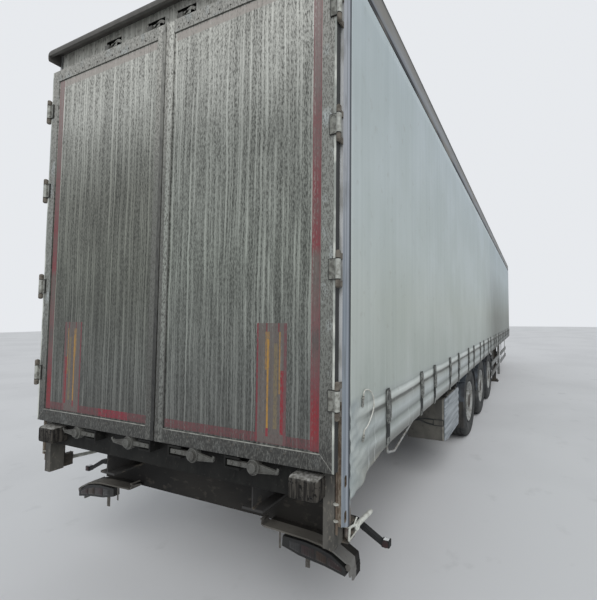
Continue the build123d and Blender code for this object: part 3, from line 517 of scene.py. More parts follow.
# The body frame: galvanised and blue-grey painted profiles, bolted together. The side rails carry
# the deck's edge, the roof rails carry the curtains, and the sliding bows carry the roof.
body_paint = aged("body_paint", (129, 135, 142), (112, 116, 120), (98, 92, 84), size=0.35,
    stretch=(1, 0.4, 2), roughness=0.55, flecked=(0.64, 0.74))
rail_zinc = aged("rail_zinc", (120, 124, 126), (98, 99, 98), (90, 80, 68), size=0.4, stretch=(1, 0.3, 2),
    roughness=0.55, metallic=0.2)
dress(body_paint, "front_wall", "side_posts")
rail_paint, shader, at = fresh_finish("rail_paint", 0.6)


def axes(at):
    """The X, Y and Z outputs of a place."""
    return joined("ShaderNodeSeparateXYZ", {"Vector": at}).outputs


def rates(value, low, high):
    """value from low to high, as 0 to 1."""
    limits = {"Value": value, "From Min": low, "From Max": high}
    return joined("ShaderNodeMapRange", limits).outputs["Result"]


rail_patch = grain(at, 3, (1, 0.5, 3))
split = axes(at)
RAIL_LOW, RAIL_HIGH = (corner[2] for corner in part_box("roof_rails"))
# Up the rail, its lowest sixth is painted near-black as shadow in the gap over the curtain; above that comes
# its grey paint, with a darker band near the top.
rail_tone_and_shade = shades(rates(split["Z"], RAIL_LOW, RAIL_HIGH), (0.0, (20, 23, 27)), (0.17, (30, 34, 40)),
    (0.21, (118, 122, 128)), (0.5, (144, 147, 150)), (0.86, (128, 130, 131)), (0.9, (78, 81, 81)),
    (0.96, (86, 87, 83)))
colour = patched(rail_patch, 0.46, 0.62, rail_tone_and_shade, (126, 123, 116), 0.8)
coat(shader, colour, rail_patch, 0.0004)
dress(rail_paint, "roof_rails")
dress(rail_zinc, "side_rails", "roof_bows")
# Pressed ribs across the front wall
WALL_FACE, WALL_RIB_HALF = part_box("front_wall")[1][1] - 0.0005, 1.19
RIB_SECTION = [(0, -0.03), (-0.0045, -0.012), (-0.0045, 0.012), (0, 0.03), (0.003, 0.012), (0.003, -0.012)]
rib_parts = [swept([(-WALL_RIB_HALF, WALL_FACE, z), (WALL_RIB_HALF, WALL_FACE, z)], RIB_SECTION)
    for z in np.arange(1.46, 3.8, 0.26)]
piece("front_wall_ribs", rib_parts, body_paint)

# The rear frame: two long posts with a header, a sill and a low crossbar. The posts' outer sides
# keep their blue-grey paint and their rear faces are brown with dirt. The crossbar, each post's
# channel and the header's pockets are painted dark as shade.
frame_tone, shader, at = fresh_finish("rear_frame", 0.7)
POST_IN, CHANNEL_IN, CHANNEL_OUT, POST_SIDE = 1.17, 1.2365, 1.2545, 1.2745
DULL = 0.2
shader.inputs["Specular IOR Level"].default_value = DULL
split = axes(at)


def maths(how, *values):
    """One arithmetic step on outputs or numbers."""
    return joined("ShaderNodeMath", dict(enumerate(values)), operation=how).outputs["Value"]


def times(one, other):
    """One output times another, or times a number."""
    return maths("MULTIPLY", one, other)


def band(value, low, high):
    """1 where value lies between low and high, else 0."""
    return maths("COMPARE", value, (low + high) / 2, abs(high - low) / 2)


outward = maths("ABSOLUTE", split["X"])
blotch = grain(at, 5, (3, 3, 1))
speck = grain(at, 60, (1, 1, 0.6))
streak = grain(at, 1, (60, 60, 1.2))
height = split["Z"]
dirt_and_shade = patched(blotch, 0.38, 0.62, (70, 69, 66), (92, 90, 85))
dirt_and_shade = patched(speck, 0.58, 0.7, dirt_and_shade, (112, 108, 100))
# Painted shade: the crossbar between the posts is near-black, with a few pale specks of dust.
shaded = patched(blotch, 0.38, 0.62, (20, 20, 19), (31, 31, 29))
shaded = patched(speck, 0.6, 0.74, shaded, (58, 56, 52), 0.7)
dirt_and_shade = over(times(band(outward, -1, POST_IN), band(height, 0.5, 3.0)), dirt_and_shade, shaded)
paint_high = patched(streak, 0.4, 0.62, (174, 177, 182), (152, 156, 161))
paint_low = patched(streak, 0.4, 0.62, (146, 154, 161), (116, 124, 133))
paint = over(rates(height, 1.9, 2.6), paint_low, paint_high)
paint = patched(blotch, 0.54, 0.7, paint, (104, 106, 106), 0.5)
front_half = band(split["Y"], DOOR_Y + 0.084, DOOR_Y + 0.13)
paint = over(times(front_half, 0.5), paint, (166, 172, 180))
# Painted shade: a dark line in the crease of the post's side, and a dark band where the curtain's edge meets
# the post.
crease_shade = band(split["Y"], DOOR_Y + 0.0815, DOOR_Y + 0.0845)
paint = over(times(crease_shade, 0.7), paint, (72, 76, 82))
curtain_gap_shade = band(split["Y"], DOOR_Y + 0.108, DOOR_Y + 0.13)
paint = over(times(curtain_gap_shade, 0.85), paint, (58, 63, 68))
rust = patched(speck, 0.42, 0.58, (120, 112, 100), (88, 76, 64))
colour = over(band(outward, POST_SIDE, 1.3), dirt_and_shade, paint)
rib_face = band(outward, CHANNEL_OUT, POST_SIDE)
rib_pale = patched(blotch, 0.45, 0.62, (196, 198, 198), (160, 161, 158))
colour = over(rib_face, colour, over(band(height, 0.6, 1.46), rib_pale, rust))
# Painted shade: the channel's recess is nearly black above 1.46 m and a dark brown-grey below.
channel_shade = times(band(outward, CHANNEL_IN, CHANNEL_OUT), band(height, 0.82, 4.0))
colour = over(channel_shade, colour, over(band(height, 0.5, 1.46), (14, 16, 17), (44, 42, 37)))
header = band(height, 3.764, 4.0)
header_wash_and_shade = patched(streak, 0.42, 0.6, (172, 171, 163), (204, 204, 196))
header_wash_and_shade = patched(speck, 0.52, 0.66, header_wash_and_shade, (112, 110, 103), 0.7)
# Painted shade: inside the header's pockets, deeper than its face, the colour is nearly black.
header_wash_and_shade = over(band(split["Y"], DOOR_Y + 0.0485, DOOR_Y + 0.2), header_wash_and_shade, (18, 18, 17))
colour = over(times(header, band(outward, -1, 1.236)), colour, header_wash_and_shade)
coat(shader, colour, speck, 0.0006)
dress(frame_tone, "rear_portal")

# On each post: the curtain latch rod in its channel with two collars, and inside each header
# pocket a bent keeper plate.
collar_zinc = aged("collar_zinc", (168, 168, 160), (134, 132, 124), (96, 88, 78), size=0.02, roughness=0.6)
keeper_pale = aged("keeper_pale", (206, 205, 196), (178, 176, 168), (132, 128, 120), size=0.04,
    roughness=0.6)
rod_rust = aged("rod_rust", (96, 84, 72), (70, 58, 48), (128, 116, 100), size=0.06, roughness=0.8)
ROD_X, ROD_Y = 1.2455, DOOR_Y + 0.052
rod_parts, collars = [], []
centre = (ROD_X, ROD_Y, 0)
rod_parts.append(turned([(0.006, 0.822), (0.0065, 0.826), (0.0065, 1.118), (0.005, 1.122)],
    centre, steps=12))
for z in (0.968, 0.889):
    collars.append(turned([(0.01, z - 0.005), (0.017, z - 0.003), (0.017, z + 0.003), (0.01, z + 0.005)],
        centre, steps=18))
piece("latch_rods", mirrored(rod_parts), rod_rust)
piece("rod_collars", mirrored(collars), collar_zinc)
POCKETS = (0.117, 0.6, -0.167, -0.616)
keeper_parts = []
pocket_y = DOOR_Y + 0.05
for x in POCKETS:
    bend = np.linspace(-1, 1, 15)
    s_line = np.column_stack([x + 0.07 * bend, np.full(15, pocket_y), 3.842 + 0.016 * np.sin(np.pi * bend)])
    keeper_parts.append(swept(s_line, flat_section(0.02, 0.006), (0, -1, 0)))
piece("header_keepers", keeper_parts, keeper_pale)

# The roof: one white coated sheet over the bows, fixed along both rails, that sinks a little
# between the bows. On the trailer the bows slide and the sheet folds up with them; here the sheet
# is one fixed shape.
roof_cloth, shader, at = fresh_finish("roof_cloth", 0.55)
soot = grain(at, 1.4, (0.6, 1, 1))
fleck = grain(at, 26)
colour = patched(soot, 0.35, 0.68, (196, 198, 197), (160, 161, 157))
colour = patched(fleck, 0.6, 0.72, colour, (128, 126, 120), 0.5)
split = axes(at)
rim_dark = band(maths("ABSOLUTE", split["X"]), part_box("roof_cover")[1][0] - 0.004, 2)
colour = over(rim_dark, colour, (64, 68, 70))
coat(shader, colour, grain(at, 300, detail=2), 0.0003)
roof_low, roof_high = np.array(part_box("roof_cover"))
BOWS = 20
bow_gap = (roof_high[1] - roof_low[1]) / (BOWS + 1)
u = np.linspace(-1, 1, 61)[None, :]
v = np.linspace(roof_low[1] + 0.002, roof_high[1] - 0.002, 6 * (BOWS + 1) + 1)[:, None]
# Height: a low crown across, rim 16 mm above the rail, less a sag of a squared sine between bows.
sag = 0.009 * np.sin(np.pi * (v - roof_low[1]) / bow_gap) ** 2 * (1 - u ** 6)
roof_z = roof_low[2] + 0.014 + 0.0145 * (1 - np.abs(u) ** 3) - sag
roof_x = np.broadcast_to(roof_high[0] * u, roof_z.shape)
skirt = np.stack([roof_x[:, :1], np.broadcast_to(v, roof_z[:, :1].shape), roof_z[:, :1] - 0.012], -1)
roof_top = np.concatenate([skirt, np.stack([roof_x, np.broadcast_to(v, roof_z.shape), roof_z], -1),
    skirt * (-1, 1, 1)], 1)


def grid_sheet(points, way=1):
    """The faces of a grid of points, row by row: (i, j) joins j to j + 1 and i to i + 1."""
    rows, columns = points.shape[:2]
    corner = (np.arange(rows - 1)[:, None] * columns + np.arange(columns - 1)[None, :])[..., None]
    quads = corner + np.array([0, 1, columns + 1, columns])[::way]
    return points.reshape(-1, 3), quads.reshape(-1, 4).tolist()


def thickened(cloth):
    """Gives a sheet the thickness of coated cloth, inwards."""
    wall = cloth.modifiers.new("cloth", "SOLIDIFY")
    wall.thickness, wall.offset = 0.002, -1


roof = piece("roof_sheet", [grid_sheet(roof_top)], roof_cloth,
    stands_for=["roof_cover"], sharp=60)
thickened(roof)

# The rear cap: a moulded hood that closes the roof over the doors and bends down past the header.
# Dark plastic, weathered to a dull grey on top.
cap_plastic = aged("cap_plastic", (78, 76, 72), (88, 86, 82), (100, 97, 92), size=0.08, roughness=0.65)
dress(cap_plastic, "rear_cap")

# Rear doors: two framed aluminium panels, washed into long pale streaks by rain through the dirt.
# A worn red tape runs along the foot and up the hinge side of each, with a striped marking panel.
door_skin, shader, at = fresh_finish("door_skin", 0.65)
split = axes(at)
across, height = split["X"], split["Z"]
outward = maths("ABSOLUTE", across)
DOOR_FOOT, DOOR_HEAD, DOOR_EDGE_X = 1.13, 3.76, 1.26
BORDER_X, BORDER_Z = (0.078, 1.178), (1.215, 3.675)


def climbing(value, low, high, *stops):
    """A colour ramp over value from low to high: stops are (value, colour or share)."""
    return shades(rates(value, low, high), *[((at - low) / (high - low), colour) for at, colour in stops])


def rising(*stops):
    """A ramp up the door: stops are (height in metres, colour or share)."""
    return climbing(height, DOOR_FOOT, DOOR_HEAD, *stops)


def drips(place, gap, width, start):
    """Upright lines at random places across, about gap apart: 1 on a line, 0 past its half width,
    times a strength that each line draws for itself."""
    lines = joined("ShaderNodeTexVoronoi", {"W": maths("ADD", place, start), "Scale": 1 / gap},
        voronoi_dimensions="1D").outputs
    near = shades(lines["Distance"], (0.3 * width / gap, 1), (width / gap, 0))
    return times(near, shades(lines["Color"], (0.25, 0.4), (0.7, 1)))


drift = times(maths("SUBTRACT", grain(at, 1, (5, 1, 1.6), 2), 0.5), 0.04)
shiver = times(maths("SUBTRACT", grain(at, 1, (30, 1, 26), 2), 0.5), 0.01)
place = maths("ADD", maths("ADD", across, drift), shiver)
dash = grain(at, 1, (150, 1, 52), 3)
speck = grain(at, 1, (190, 1, 120), 2)
blotch = grain(at, 1, (5, 1, 1.7), 4)
mottle = grain(at, 11, (1, 1, 0.7), 6)
# Darker towards the foot: road dirt, and in part painted shadow low on the doors.
soil_and_shadow = rising((1.13, (54, 54, 52)), (1.5, (60, 62, 59)), (2.2, (74, 77, 71)), (2.9, (84, 86, 80)),
    (3.35, (124, 124, 118)), (3.76, (134, 133, 127)))
bright = rising((1.13, (110, 111, 107)), (1.5, (129, 132, 127)), (2.2, (158, 163, 154)),
    (2.9, (170, 173, 165)), (3.35, (206, 207, 199)), (3.76, (212, 212, 203)))
rough_high = rising((1.13, 0.42), (2.0, 0.52), (2.8, 0.72), (3.76, 1.0))
colour = over(times(shades(dash, (0.42, 0), (0.62, 0.8)), rough_high), soil_and_shadow, bright)
colour = over(times(shades(dash, (0.34, 0.85), (0.46, 0)), rough_high), colour, (60, 60, 56))
colour = over(shades(blotch, (0.36, 0.5), (0.56, 0)), colour, (196, 196, 194), "MULTIPLY")
fading = shades(grain(at, 1, (26, 1, 2.6), 3), (0.36, 0.25), (0.56, 1))
for gap, width, start, share in ((0.041, 0.008, 3.1, 1.0), (0.019, 0.0046, 7.7, 0.62),
        (0.011, 0.003, 5.2, 0.4)):
    runs = times(drips(place, gap, width, start), fading)
    colour = over(times(runs, share), colour, bright)
colour = patched(speck, 0.62, 0.7, colour, (58, 57, 53), 0.7)
# Painted shadow: the left door's field is darker, most from 2.0 m to 2.7 m, fading out by 3.3 m.
left_painted_shadow = times(band(across, -1.3, -0.034), rising((1.5, 0.35), (2.0, 1), (2.7, 1), (3.3, 0)))
colour = over(left_painted_shadow, colour, (212, 210, 206), "MULTIPLY")

# The borders are warmer and mottled, with a blue-white patch rubbed clean here and there, and the
# seams between them and the field are dark.
in_field = times(band(outward, *BORDER_X), band(height, *BORDER_Z))
# The borders and the middle strip also darken towards the foot, in part as painted shadow.
border = rising((1.13, (64, 64, 61)), (1.21, (68, 68, 65)), (1.4, (106, 107, 102)), (2.2, (134, 137, 131)),
    (3.0, (140, 141, 135)), (3.76, (168, 167, 160)))
middle = rising((1.13, (84, 84, 80)), (1.6, (90, 91, 87)), (2.0, (104, 105, 100)), (2.7, (118, 119, 113)),
    (3.4, (176, 175, 167)), (3.76, (186, 185, 177)))
clean = times(shades(mottle, (0.54, 0), (0.72, 0.9)), rising((1.25, 0.1), (1.8, 1)))
border = over(clean, border, (172, 178, 177))
border = over(band(outward, -1, BORDER_X[0]), border, middle)
low_tone = rising((1.13, (34, 34, 32)), (1.3, (48, 47, 44)), (1.8, (72, 71, 66)), (3.76, (84, 83, 78)))
border = over(times(shades(dash, (0.54, 0), (0.66, 0.7)), band(height, 1.0, 1.3)), border, (112, 112, 107))
border = over(shades(dash, (0.4, 0.7), (0.52, 0)), border, low_tone)
border = patched(speck, 0.56, 0.68, border, low_tone, 0.8)
colour = over(in_field, border, colour)
for edge in BORDER_X:
    seam = times(band(outward, edge - 0.0025, edge + 0.0015), 0.35)
    colour = over(seam, colour, (48, 48, 45))


def worn(mask, wear, share):
    """A mask that is broken up where wear is low."""
    return times(mask, shades(wear, (0.4, share), (0.54, 1)))


TAPE_Z, TAPE_X, TAPE_EDGE = (1.222, 1.272), (1.119, 1.171), 0.005
foot_tape = times(band(height, *TAPE_Z), band(outward, 0.083, 1.147))
vivid = maths("COMPARE", across, -0.41, 0.15)
colour = over(worn(foot_tape, dash, 0.35), colour, over(vivid, (100, 62, 64), (128, 38, 52)))
faded = rising((1.22, (112, 58, 62)), (1.3, (132, 44, 50)), (1.42, (130, 42, 49)), (1.55, (114, 68, 71)),
    (1.65, (110, 80, 79)), (1.76, (90, 80, 78)), (1.85, (114, 82, 82)), (2.05, (104, 92, 88)),
    (2.18, (106, 92, 88)), (2.24, (126, 58, 64)), (2.45, (112, 76, 76)), (2.52, (124, 62, 67)),
    (2.75, (116, 88, 87)), (2.9, (120, 84, 84)), (3.05, (118, 100, 98)), (3.6, (142, 124, 121)))
side_tape = times(band(outward, *TAPE_X), band(height, 1.218, 3.672))
colour = over(worn(side_tape, dash, 0.62), colour, faded)
for edge in TAPE_X:
    rim = times(side_tape, band(outward, edge - TAPE_EDGE, edge + TAPE_EDGE))
    colour = over(times(rim, 0.55), colour, (128, 62, 68))
# A last strip of tape, almost grey, runs along the top under a thin dark joint.
top_tape = times(band(outward, 0.09, 1.118), band(height, 3.618, 3.668))
colour = over(worn(top_tape, dash, 0.55), colour, (166, 159, 152))
top_joint = times(band(outward, *BORDER_X), band(height, BORDER_Z[1] - 0.004, BORDER_Z[1] + 0.001))
colour = over(times(top_joint, 0.8), colour, (62, 61, 57))
# The marking panel is blank: red edges and amber bars on a dull ground, all scraped.
PANEL_Z = (1.225, 1.845)
MARKS = (((0.775, 0.972), PANEL_Z, (100, 92, 88), 0.6), ((0.775, 0.787), PANEL_Z, (120, 50, 58), 0.5),
    ((0.838, 0.845), (1.8, 1.845), (118, 44, 52), 0.8), ((0.916, 0.924), (1.8, 1.845), (118, 44, 52), 0.8),
    ((0.832, 0.862), (1.6, 1.8), (140, 112, 74), 0.35), ((0.845, 0.857), (1.3, 1.76), (170, 128, 56), 0.6),
    ((0.923, 0.932), (1.48, 1.8), (152, 118, 66), 0.5), ((0.89, 0.914), (1.3, 1.74), (118, 106, 82), 0.35),
    ((0.843, 0.858), (1.258, 1.3), (138, 42, 54), 0.6), ((0.934, 0.954), (1.275, 1.6), (134, 38, 48), 0.5),
    ((0.954, 0.972), PANEL_Z, (108, 70, 73), 0.5))
for width, high, shade, share in MARKS:
    mark = times(band(outward, *width), band(height, *high))
    colour = over(worn(mark, dash, share), colour, shade)
# Down the middle, the dark lap of the rubber seal, then a mottled strip and a pale one.
lap = times(band(across, -0.034, 0.002), shades(speck, (0.35, 1), (0.62, 0.7)))
lap_tone = rising((1.13, (30, 30, 29)), (1.6, (42, 42, 40)), (2.0, (66, 66, 63)), (2.9, (96, 96, 91)),
    (3.76, (150, 149, 142)))
colour = over(lap, colour, lap_tone)
scuffed = times(band(across, -0.034, 0.002), shades(grain(at, 1, (60, 1, 22), 4), (0.52, 0), (0.6, 0.8)))
colour = over(scuffed, colour, rising((1.13, (12, 12, 12)), (2.2, (50, 50, 48)), (3.76, (100, 99, 94))))
pale = times(band(across, 0.034, 0.068), shades(dash, (0.38, 0), (0.56, 0.75)))
colour = over(pale, colour, bright)
# The rim of the door is painted as a bright highlight along its front edge, and its sides are
# painted dark as shade in the gap to the post.
DOOR_SIDE = DOOR_Y + 0.0012
edge_highlight = times(band(outward, 1.2485, 1.2605), band(split["Y"], DOOR_Y - 0.01, DOOR_SIDE))
edge_highlight_tone = patched(mottle, 0.42, 0.58, (150, 154, 148), (206, 208, 200))
colour = over(edge_highlight, colour, edge_highlight_tone)
flank_shade = times(band(outward, 1.259, 1.2615), band(split["Y"], DOOR_SIDE, DOOR_Y + 0.08))
colour = over(flank_shade, colour, (46, 47, 47))
# The inner face: pale panels with a joint every quarter metre, scuffed by loads in their lower half
inner = patched(mottle, 0.42, 0.62, (156, 158, 156), (149, 151, 148))
knocks = times(shades(grain(at, 1, (5, 1, 30), 4), (0.54, 0), (0.74, 0.5)),
    rising((1.2, 1), (2.4, 0.8), (3.0, 0.1)))
inner = over(knocks, inner, (120, 116, 108))
joint = band(maths("FRACT", times(height, 4)), -0.01, 0.025)
inner = over(joint, inner, (100, 101, 98))
colour = over(band(split["Y"], DOOR_Y + 0.0345, DOOR_Y + 0.1), colour, inner)
coat(shader, colour, speck, 0.0004)
dress(door_skin, "door_right_panel", "door_left_panel")

# On each door: a bright trim strip along the foot of the field, rivets through the borders, black
# seals round the inner face, and the mitres of the frame at its corners.
trim_metal = aged("trim_metal", (158, 158, 151), (118, 117, 111), (76, 73, 68), size=0.08,
    stretch=(1, 1, 0.4), roughness=0.45, metallic=0.2)
rivet_dark = aged("rivet_dark", (58, 56, 53), (78, 74, 68), (104, 98, 90), size=0.03, roughness=0.7)
seal_rubber = aged("seal_rubber", (34, 35, 36), (50, 50, 49), (84, 81, 76), size=0.06, stretch=(1, 1, 0.3),
    roughness=0.85)
RIVET_GAP, RIVET_R = 0.086, 0.006
for side, hand in SIDES:
    trim, rivets, seals = [], [], []
    face = DOOR_Y - 0.0008
    z = BORDER_Z[0]
    trim.append(block((side * BORDER_X[0], face - 0.001, z - 0.006),
        (side * BORDER_X[1], face + 0.0015, z + 0.001), 0.001))
    # Mitre lines, raised by a hair, from each outer corner of the field to the door's corner
    for z_in, z_out in ((BORDER_Z[0], DOOR_FOOT), (BORDER_Z[1], DOOR_HEAD)):
        mitre = [(side * BORDER_X[1], face + 0.0004, z_in),
            (side * (DOOR_EDGE_X - 0.002), face + 0.0004, z_out)]
        trim.append(swept(mitre, flat_section(0.002, 0.0012), (0, -1, 0)))
    piece(f"door_trim_{hand}", trim, trim_metal, f"door_{hand}")
    dome = [(RIVET_R, 0), (0.8 * RIVET_R, -0.0016), (0.4 * RIVET_R, -0.0026), (0.0005, -0.0028)]
    spots = [(x, z) for z in (1.188, 3.702) for x in np.arange(0.112, 1.2, RIVET_GAP)]
    for x, z in spots:
        rivets.append(turned(dome, (side * x, DOOR_Y, z), "y", 10))
    piece(f"door_rivets_{hand}", rivets, rivet_dark, f"door_{hand}")
    # Seals: a lip round the door's inner face, that shuts against the frame
    lip = [(0.012, 1.142), (1.248, 1.142), (1.248, 3.748), (0.012, 3.748)]
    for (x0, z0), (x1, z1) in zip(lip, lip[1:] + lip[:1]):
        seals.append(block((side * (min(x0, x1) - 0.006), DOOR_Y + 0.034, min(z0, z1) - 0.006),
            (side * (max(x0, x1) + 0.006), DOOR_Y + 0.039, max(z0, z1) + 0.006), 0.002))
    piece(f"door_seal_{hand}", seals, seal_rubber, f"door_{hand}")

# Hinges: each door hangs on four cast leaves with a raised frame, between two rusty knuckles
# that are welded to the post.
HINGE_X, HINGE_Y, HINGE_Z = 1.279, DOOR_Y - 0.006, (1.475, 2.11, 2.835, 3.45)
LEAF_EDGE, LEAF_HALF, OUTLINE = 1.225, 0.052, 0.004
hinge_zinc, shader, at = fresh_finish("hinge_zinc", 0.55, 0.1)
split = axes(at)
outward = maths("ABSOLUTE", split["X"])
scale_spots = grain(at, 42)
plate_tone = patched(scale_spots, 0.44, 0.62, (136, 137, 130), (92, 91, 85))
barrel_highlight_tone = patched(scale_spots, 0.44, 0.62, (170, 172, 165), (128, 128, 121))
# Painted highlight: the barrel band of each leaf is lighter.
plate_tone = over(band(outward, 1.2665, 1.32), plate_tone, barrel_highlight_tone)
inside = band(outward, LEAF_EDGE + OUTLINE, 1.32)
beside = 0
for z in HINGE_Z:
    beside = maths("ADD", band(split["Z"], z - LEAF_HALF + OUTLINE, z + LEAF_HALF - OUTLINE), beside)
inside = times(inside, beside)
# Painted shade: a 4 mm outline round each leaf is dark.
colour = over(inside, (44, 43, 40), plate_tone)
coat(shader, colour, scale_spots, 0.0006)
knuckle_rust = aged("knuckle_rust", (108, 102, 93), (80, 74, 66), (134, 129, 120), size=0.03,
    roughness=0.85)
dress(hinge_zinc, "door_right_hinges", "door_left_hinges")
dress(knuckle_rust, "post_hinges")
caps = []
for z in HINGE_Z:
    for end in (-1, 1):
        foot = z + end * 0.0845
        caps.append(turned([(0.0128, foot - end * 0.002), (0.0115, foot + end * 0.004),
            (0.0075, foot + end * 0.0075), (0.001, foot + end * 0.009)], (HINGE_X, HINGE_Y, 0), steps=18))
piece("knuckle_caps", mirrored(caps), knuckle_rust)

# Lock gear: galvanised levers on round bosses below the doors, held in forked keepers on the
# crossbar, with hooks in the header above. Grey with dust.
lock_zinc = aged("lock_zinc", (92, 92, 88), (74, 73, 69), (118, 117, 111), size=0.06, roughness=0.65,
    metallic=0.1)
dress(lock_zinc, "door_right_locks", "door_left_locks")
LOCKS = {"right": (1, (0.118, 0.562)), "left": (-1, (0.035, 0.573))}
LOCK_Z = 1.088
# The turned-up tip of a lever, as (back from its end, past the doors' face, above the levers)
HOOK = ((0.03, 0.01, -0.012), (0.005, 0.008, -0.008), (-0.004, 0.006, 0.004), (-0.006, 0.005, 0.016))
for hand, (side, keepers) in LOCKS.items():
    gear = []
    for keeper in keepers:
        boss = side * (keeper + 0.205)
        back = DOOR_Y - 0.01
        gear.append(turned([(0.026, 0.003), (0.0275, 0), (0.0255, -0.0035), (0.019, -0.004),
            (0.018, -0.002), (0.001, -0.002)], (boss, back, LOCK_Z), "y", 28))
        gear.append(turned([(0.04, 0.001), (0.0405, -0.0015), (0.036, -0.003), (0.0345, -0.0005),
            (0.028, -0.0005)], (boss, DOOR_Y + 0.002, LOCK_Z), "y", 32))
        # Two ribs along the arm and a turned-up tip
        for z0, z1 in ((LOCK_Z + 0.016, LOCK_Z - 0.004), (LOCK_Z - 0.024, LOCK_Z - 0.012)):
            gear.append(swept([(boss + side * 0.042, DOOR_Y + 0.006, z0),
                (boss + side * 0.14, DOOR_Y + 0.006, z1)], flat_section(0.005, 0.005), (0, -1, 0)))
        tip = side * (keeper + 0.36)
        hook = [(tip - side * back, DOOR_Y + deep, LOCK_Z + rise) for back, deep, rise in HOOK]
        gear.append(swept(hook, flat_section(0.014, 0.005), (0, -1, 0)))
        for inward in (0.15, 0.095):
            spot = (boss - side * inward, DOOR_Y + 0.008, LOCK_Z)
            gear.append(turned([(0.009, 0.002), (0.009, -0.004), (0.006, -0.006)], spot, "y", 6))
    piece(f"lock_fittings_{hand}", gear, lock_zinc, f"door_{hand}")

# The curtains: one coated cloth a side, hung from the roof rail and drawn tight, with welded
# stiffening ridges along the foot. The rear lower corner hangs below the frame in slack folds.
CURTAIN_TOP, CURTAIN_FACE, CURTAIN_REAR, CURTAIN_FRONT = 3.76, 1.2745, 0.13, 13.534
# The hem's height at distances from the doors
hem_y = np.array([CURTAIN_REAR, 0.26, 0.36, 0.5, 0.62, 1.38, CURTAIN_FRONT])
hem_z = np.array([0.955, 0.96, 1.021, 1.044, 1.06, 1.068, 1.068])
# Folds along the foot, each as (low, high, rise, lean)
FOLDS = ((1.325, 1.4, 0.0065, 1.5), (1.19, 1.325, 0.0095, 1.0), (1.078, 1.19, 0.0085, 1.0))
WELD_Z, SEAM_Y = 2.04, 6.72
STRAP_PITCH = 1.225
strap_pairs = [start + STRAP_PITCH * step for step in range(9) for start in (2.41, 2.905)]
strap_y = [0.61, 1.335, 1.75, *strap_pairs, 13.3]


def curtain_surface(side, phase):
    """The cloth at column y and row z: x = side * (face + folds + slack + waves). A fold between
    two pinched lines is rise * sin(pi * share ** lean) ** 0.7, share the height between them; it is
    pulled in at the straps and fades at the rear. Slack is slanted sines that fade away from the
    rear lower corner, and waves are slow sines in y and z."""
    columns = np.concatenate([np.arange(CURTAIN_REAR, 1.3, 0.015), np.linspace(1.3, CURTAIN_FRONT, 290)])
    foot = np.interp(columns, hem_y, hem_z)
    rows = np.concatenate([np.arange(1.076, 1.45, 0.0062), np.linspace(1.46, CURTAIN_TOP, 30)])
    drop = np.linspace(0, 1, 9)[:-1, None]
    z = np.concatenate([foot * (1 - drop) + 1.074 * drop, np.repeat(rows[:, None], len(columns), 1)])
    y = np.repeat(columns[None, :], len(z), 0)
    x = np.full_like(y, CURTAIN_FACE)
    near = np.min(np.abs(y[..., None] - np.array(strap_y)), -1)
    pinch = 0.4 + 0.6 * np.clip((near - 0.02) / 0.16, 0, 1) ** 0.8
    tight = np.clip((y - 0.24) / 0.3, 0.12, 1)
    sway = 0.006 * np.sin(2.9 * y + phase) + 0.003 * np.sin(7.3 * y - phase)
    for low, high, rise, lean in FOLDS:
        share = np.clip((z - low - sway) / (high - low), 0, 1)
        x += rise * pinch * tight * np.sin(np.pi * share ** (1 / lean)) ** 0.7
    slack = np.clip(1 - (y - CURTAIN_REAR) / 0.62, 0, 1) * np.clip((1.6 - z) / 0.35, 0, 1)
    ripple = 0.0042 * np.sin(52 * (0.75 * y + z) + 2.5 * np.sin(7 * y) + phase)
    x += slack * (ripple + 0.002 * np.sin(105 * (0.45 * y - z) + phase))
    x += 0.0008 * np.exp(-((z - WELD_Z) / 0.006) ** 2)
    high = np.clip((z - 1.4) / 0.5, 0, 1) * np.clip((CURTAIN_TOP - z) / 0.3, 0, 1)
    swell = 0.0016 * np.sin(2 * np.pi * y / 1.9 + z + phase)
    x += high * (0.001 * np.sin(2 * np.pi * y / 0.47 + 1.5 * np.sin(1.3 * z + phase)) + swell)
    return np.stack([side * x, DOOR_Y + y, z], -1)


curtain_cloth, shader, at = fresh_finish("curtain_cloth", 0.5)
split = axes(at)
along, height = split["Y"], split["Z"]
FOOT_Z = (0.95, 1.45)
# The folds' light and shade are painted into these tones up the foot: bright crests and dark grooves under
# them, on top of the folds' own relief.
fold_light_and_shade_tones = [(0.95, (146, 142, 130)), (1.04, (138, 137, 129)), (1.066, (120, 121, 118)),
    (1.09, (132, 133, 130)), (1.115, (150, 153, 150)), (1.143, (178, 183, 182)), (1.171, (154, 160, 157)),
    (1.19, (128, 133, 130)), (1.212, (158, 163, 162)), (1.25, (180, 186, 186)), (1.285, (168, 173, 171)),
    (1.308, (146, 149, 145)), (1.318, (96, 98, 94)), (1.332, (102, 103, 99)), (1.346, (188, 192, 188)),
    (1.37, (206, 211, 208)), (1.386, (184, 190, 187)), (1.396, (150, 156, 153)), (1.408, (168, 174, 171)),
    (1.44, (174, 181, 177))]
waver = times(maths("SUBTRACT", grain(at, 1, (1, 3, 1), 2), 0.5), 0.022)
folds_light_and_shade = climbing(maths("ADD", height, waver), *FOOT_Z, *fold_light_and_shade_tones)
corner_tone = shades(grain(at, 1, (1, 9, 7), 3), (0.38, (152, 160, 160)), (0.6, (178, 184, 181)))
folds_light_and_shade = over(rates(along, DOOR_Y + 0.16, DOOR_Y + 0.42), corner_tone, folds_light_and_shade)
plain = shades(rates(height, 1.45, 3.75), (0.0, (174, 181, 176)), (0.22, (182, 189, 183)),
    (0.42, (188, 197, 196)), (1.0, (184, 195, 199)))
tone = over(rates(height, 1.42, 1.46), folds_light_and_shade, plain)
rain = grain(at, 1, (1, 26, 0.4))
colour = over(shades(rain, (0.35, 1), (0.6, 0)), tone, (247, 248, 248), "MULTIPLY")
cloud = grain(at, 2.2, (1, 1, 0.6))
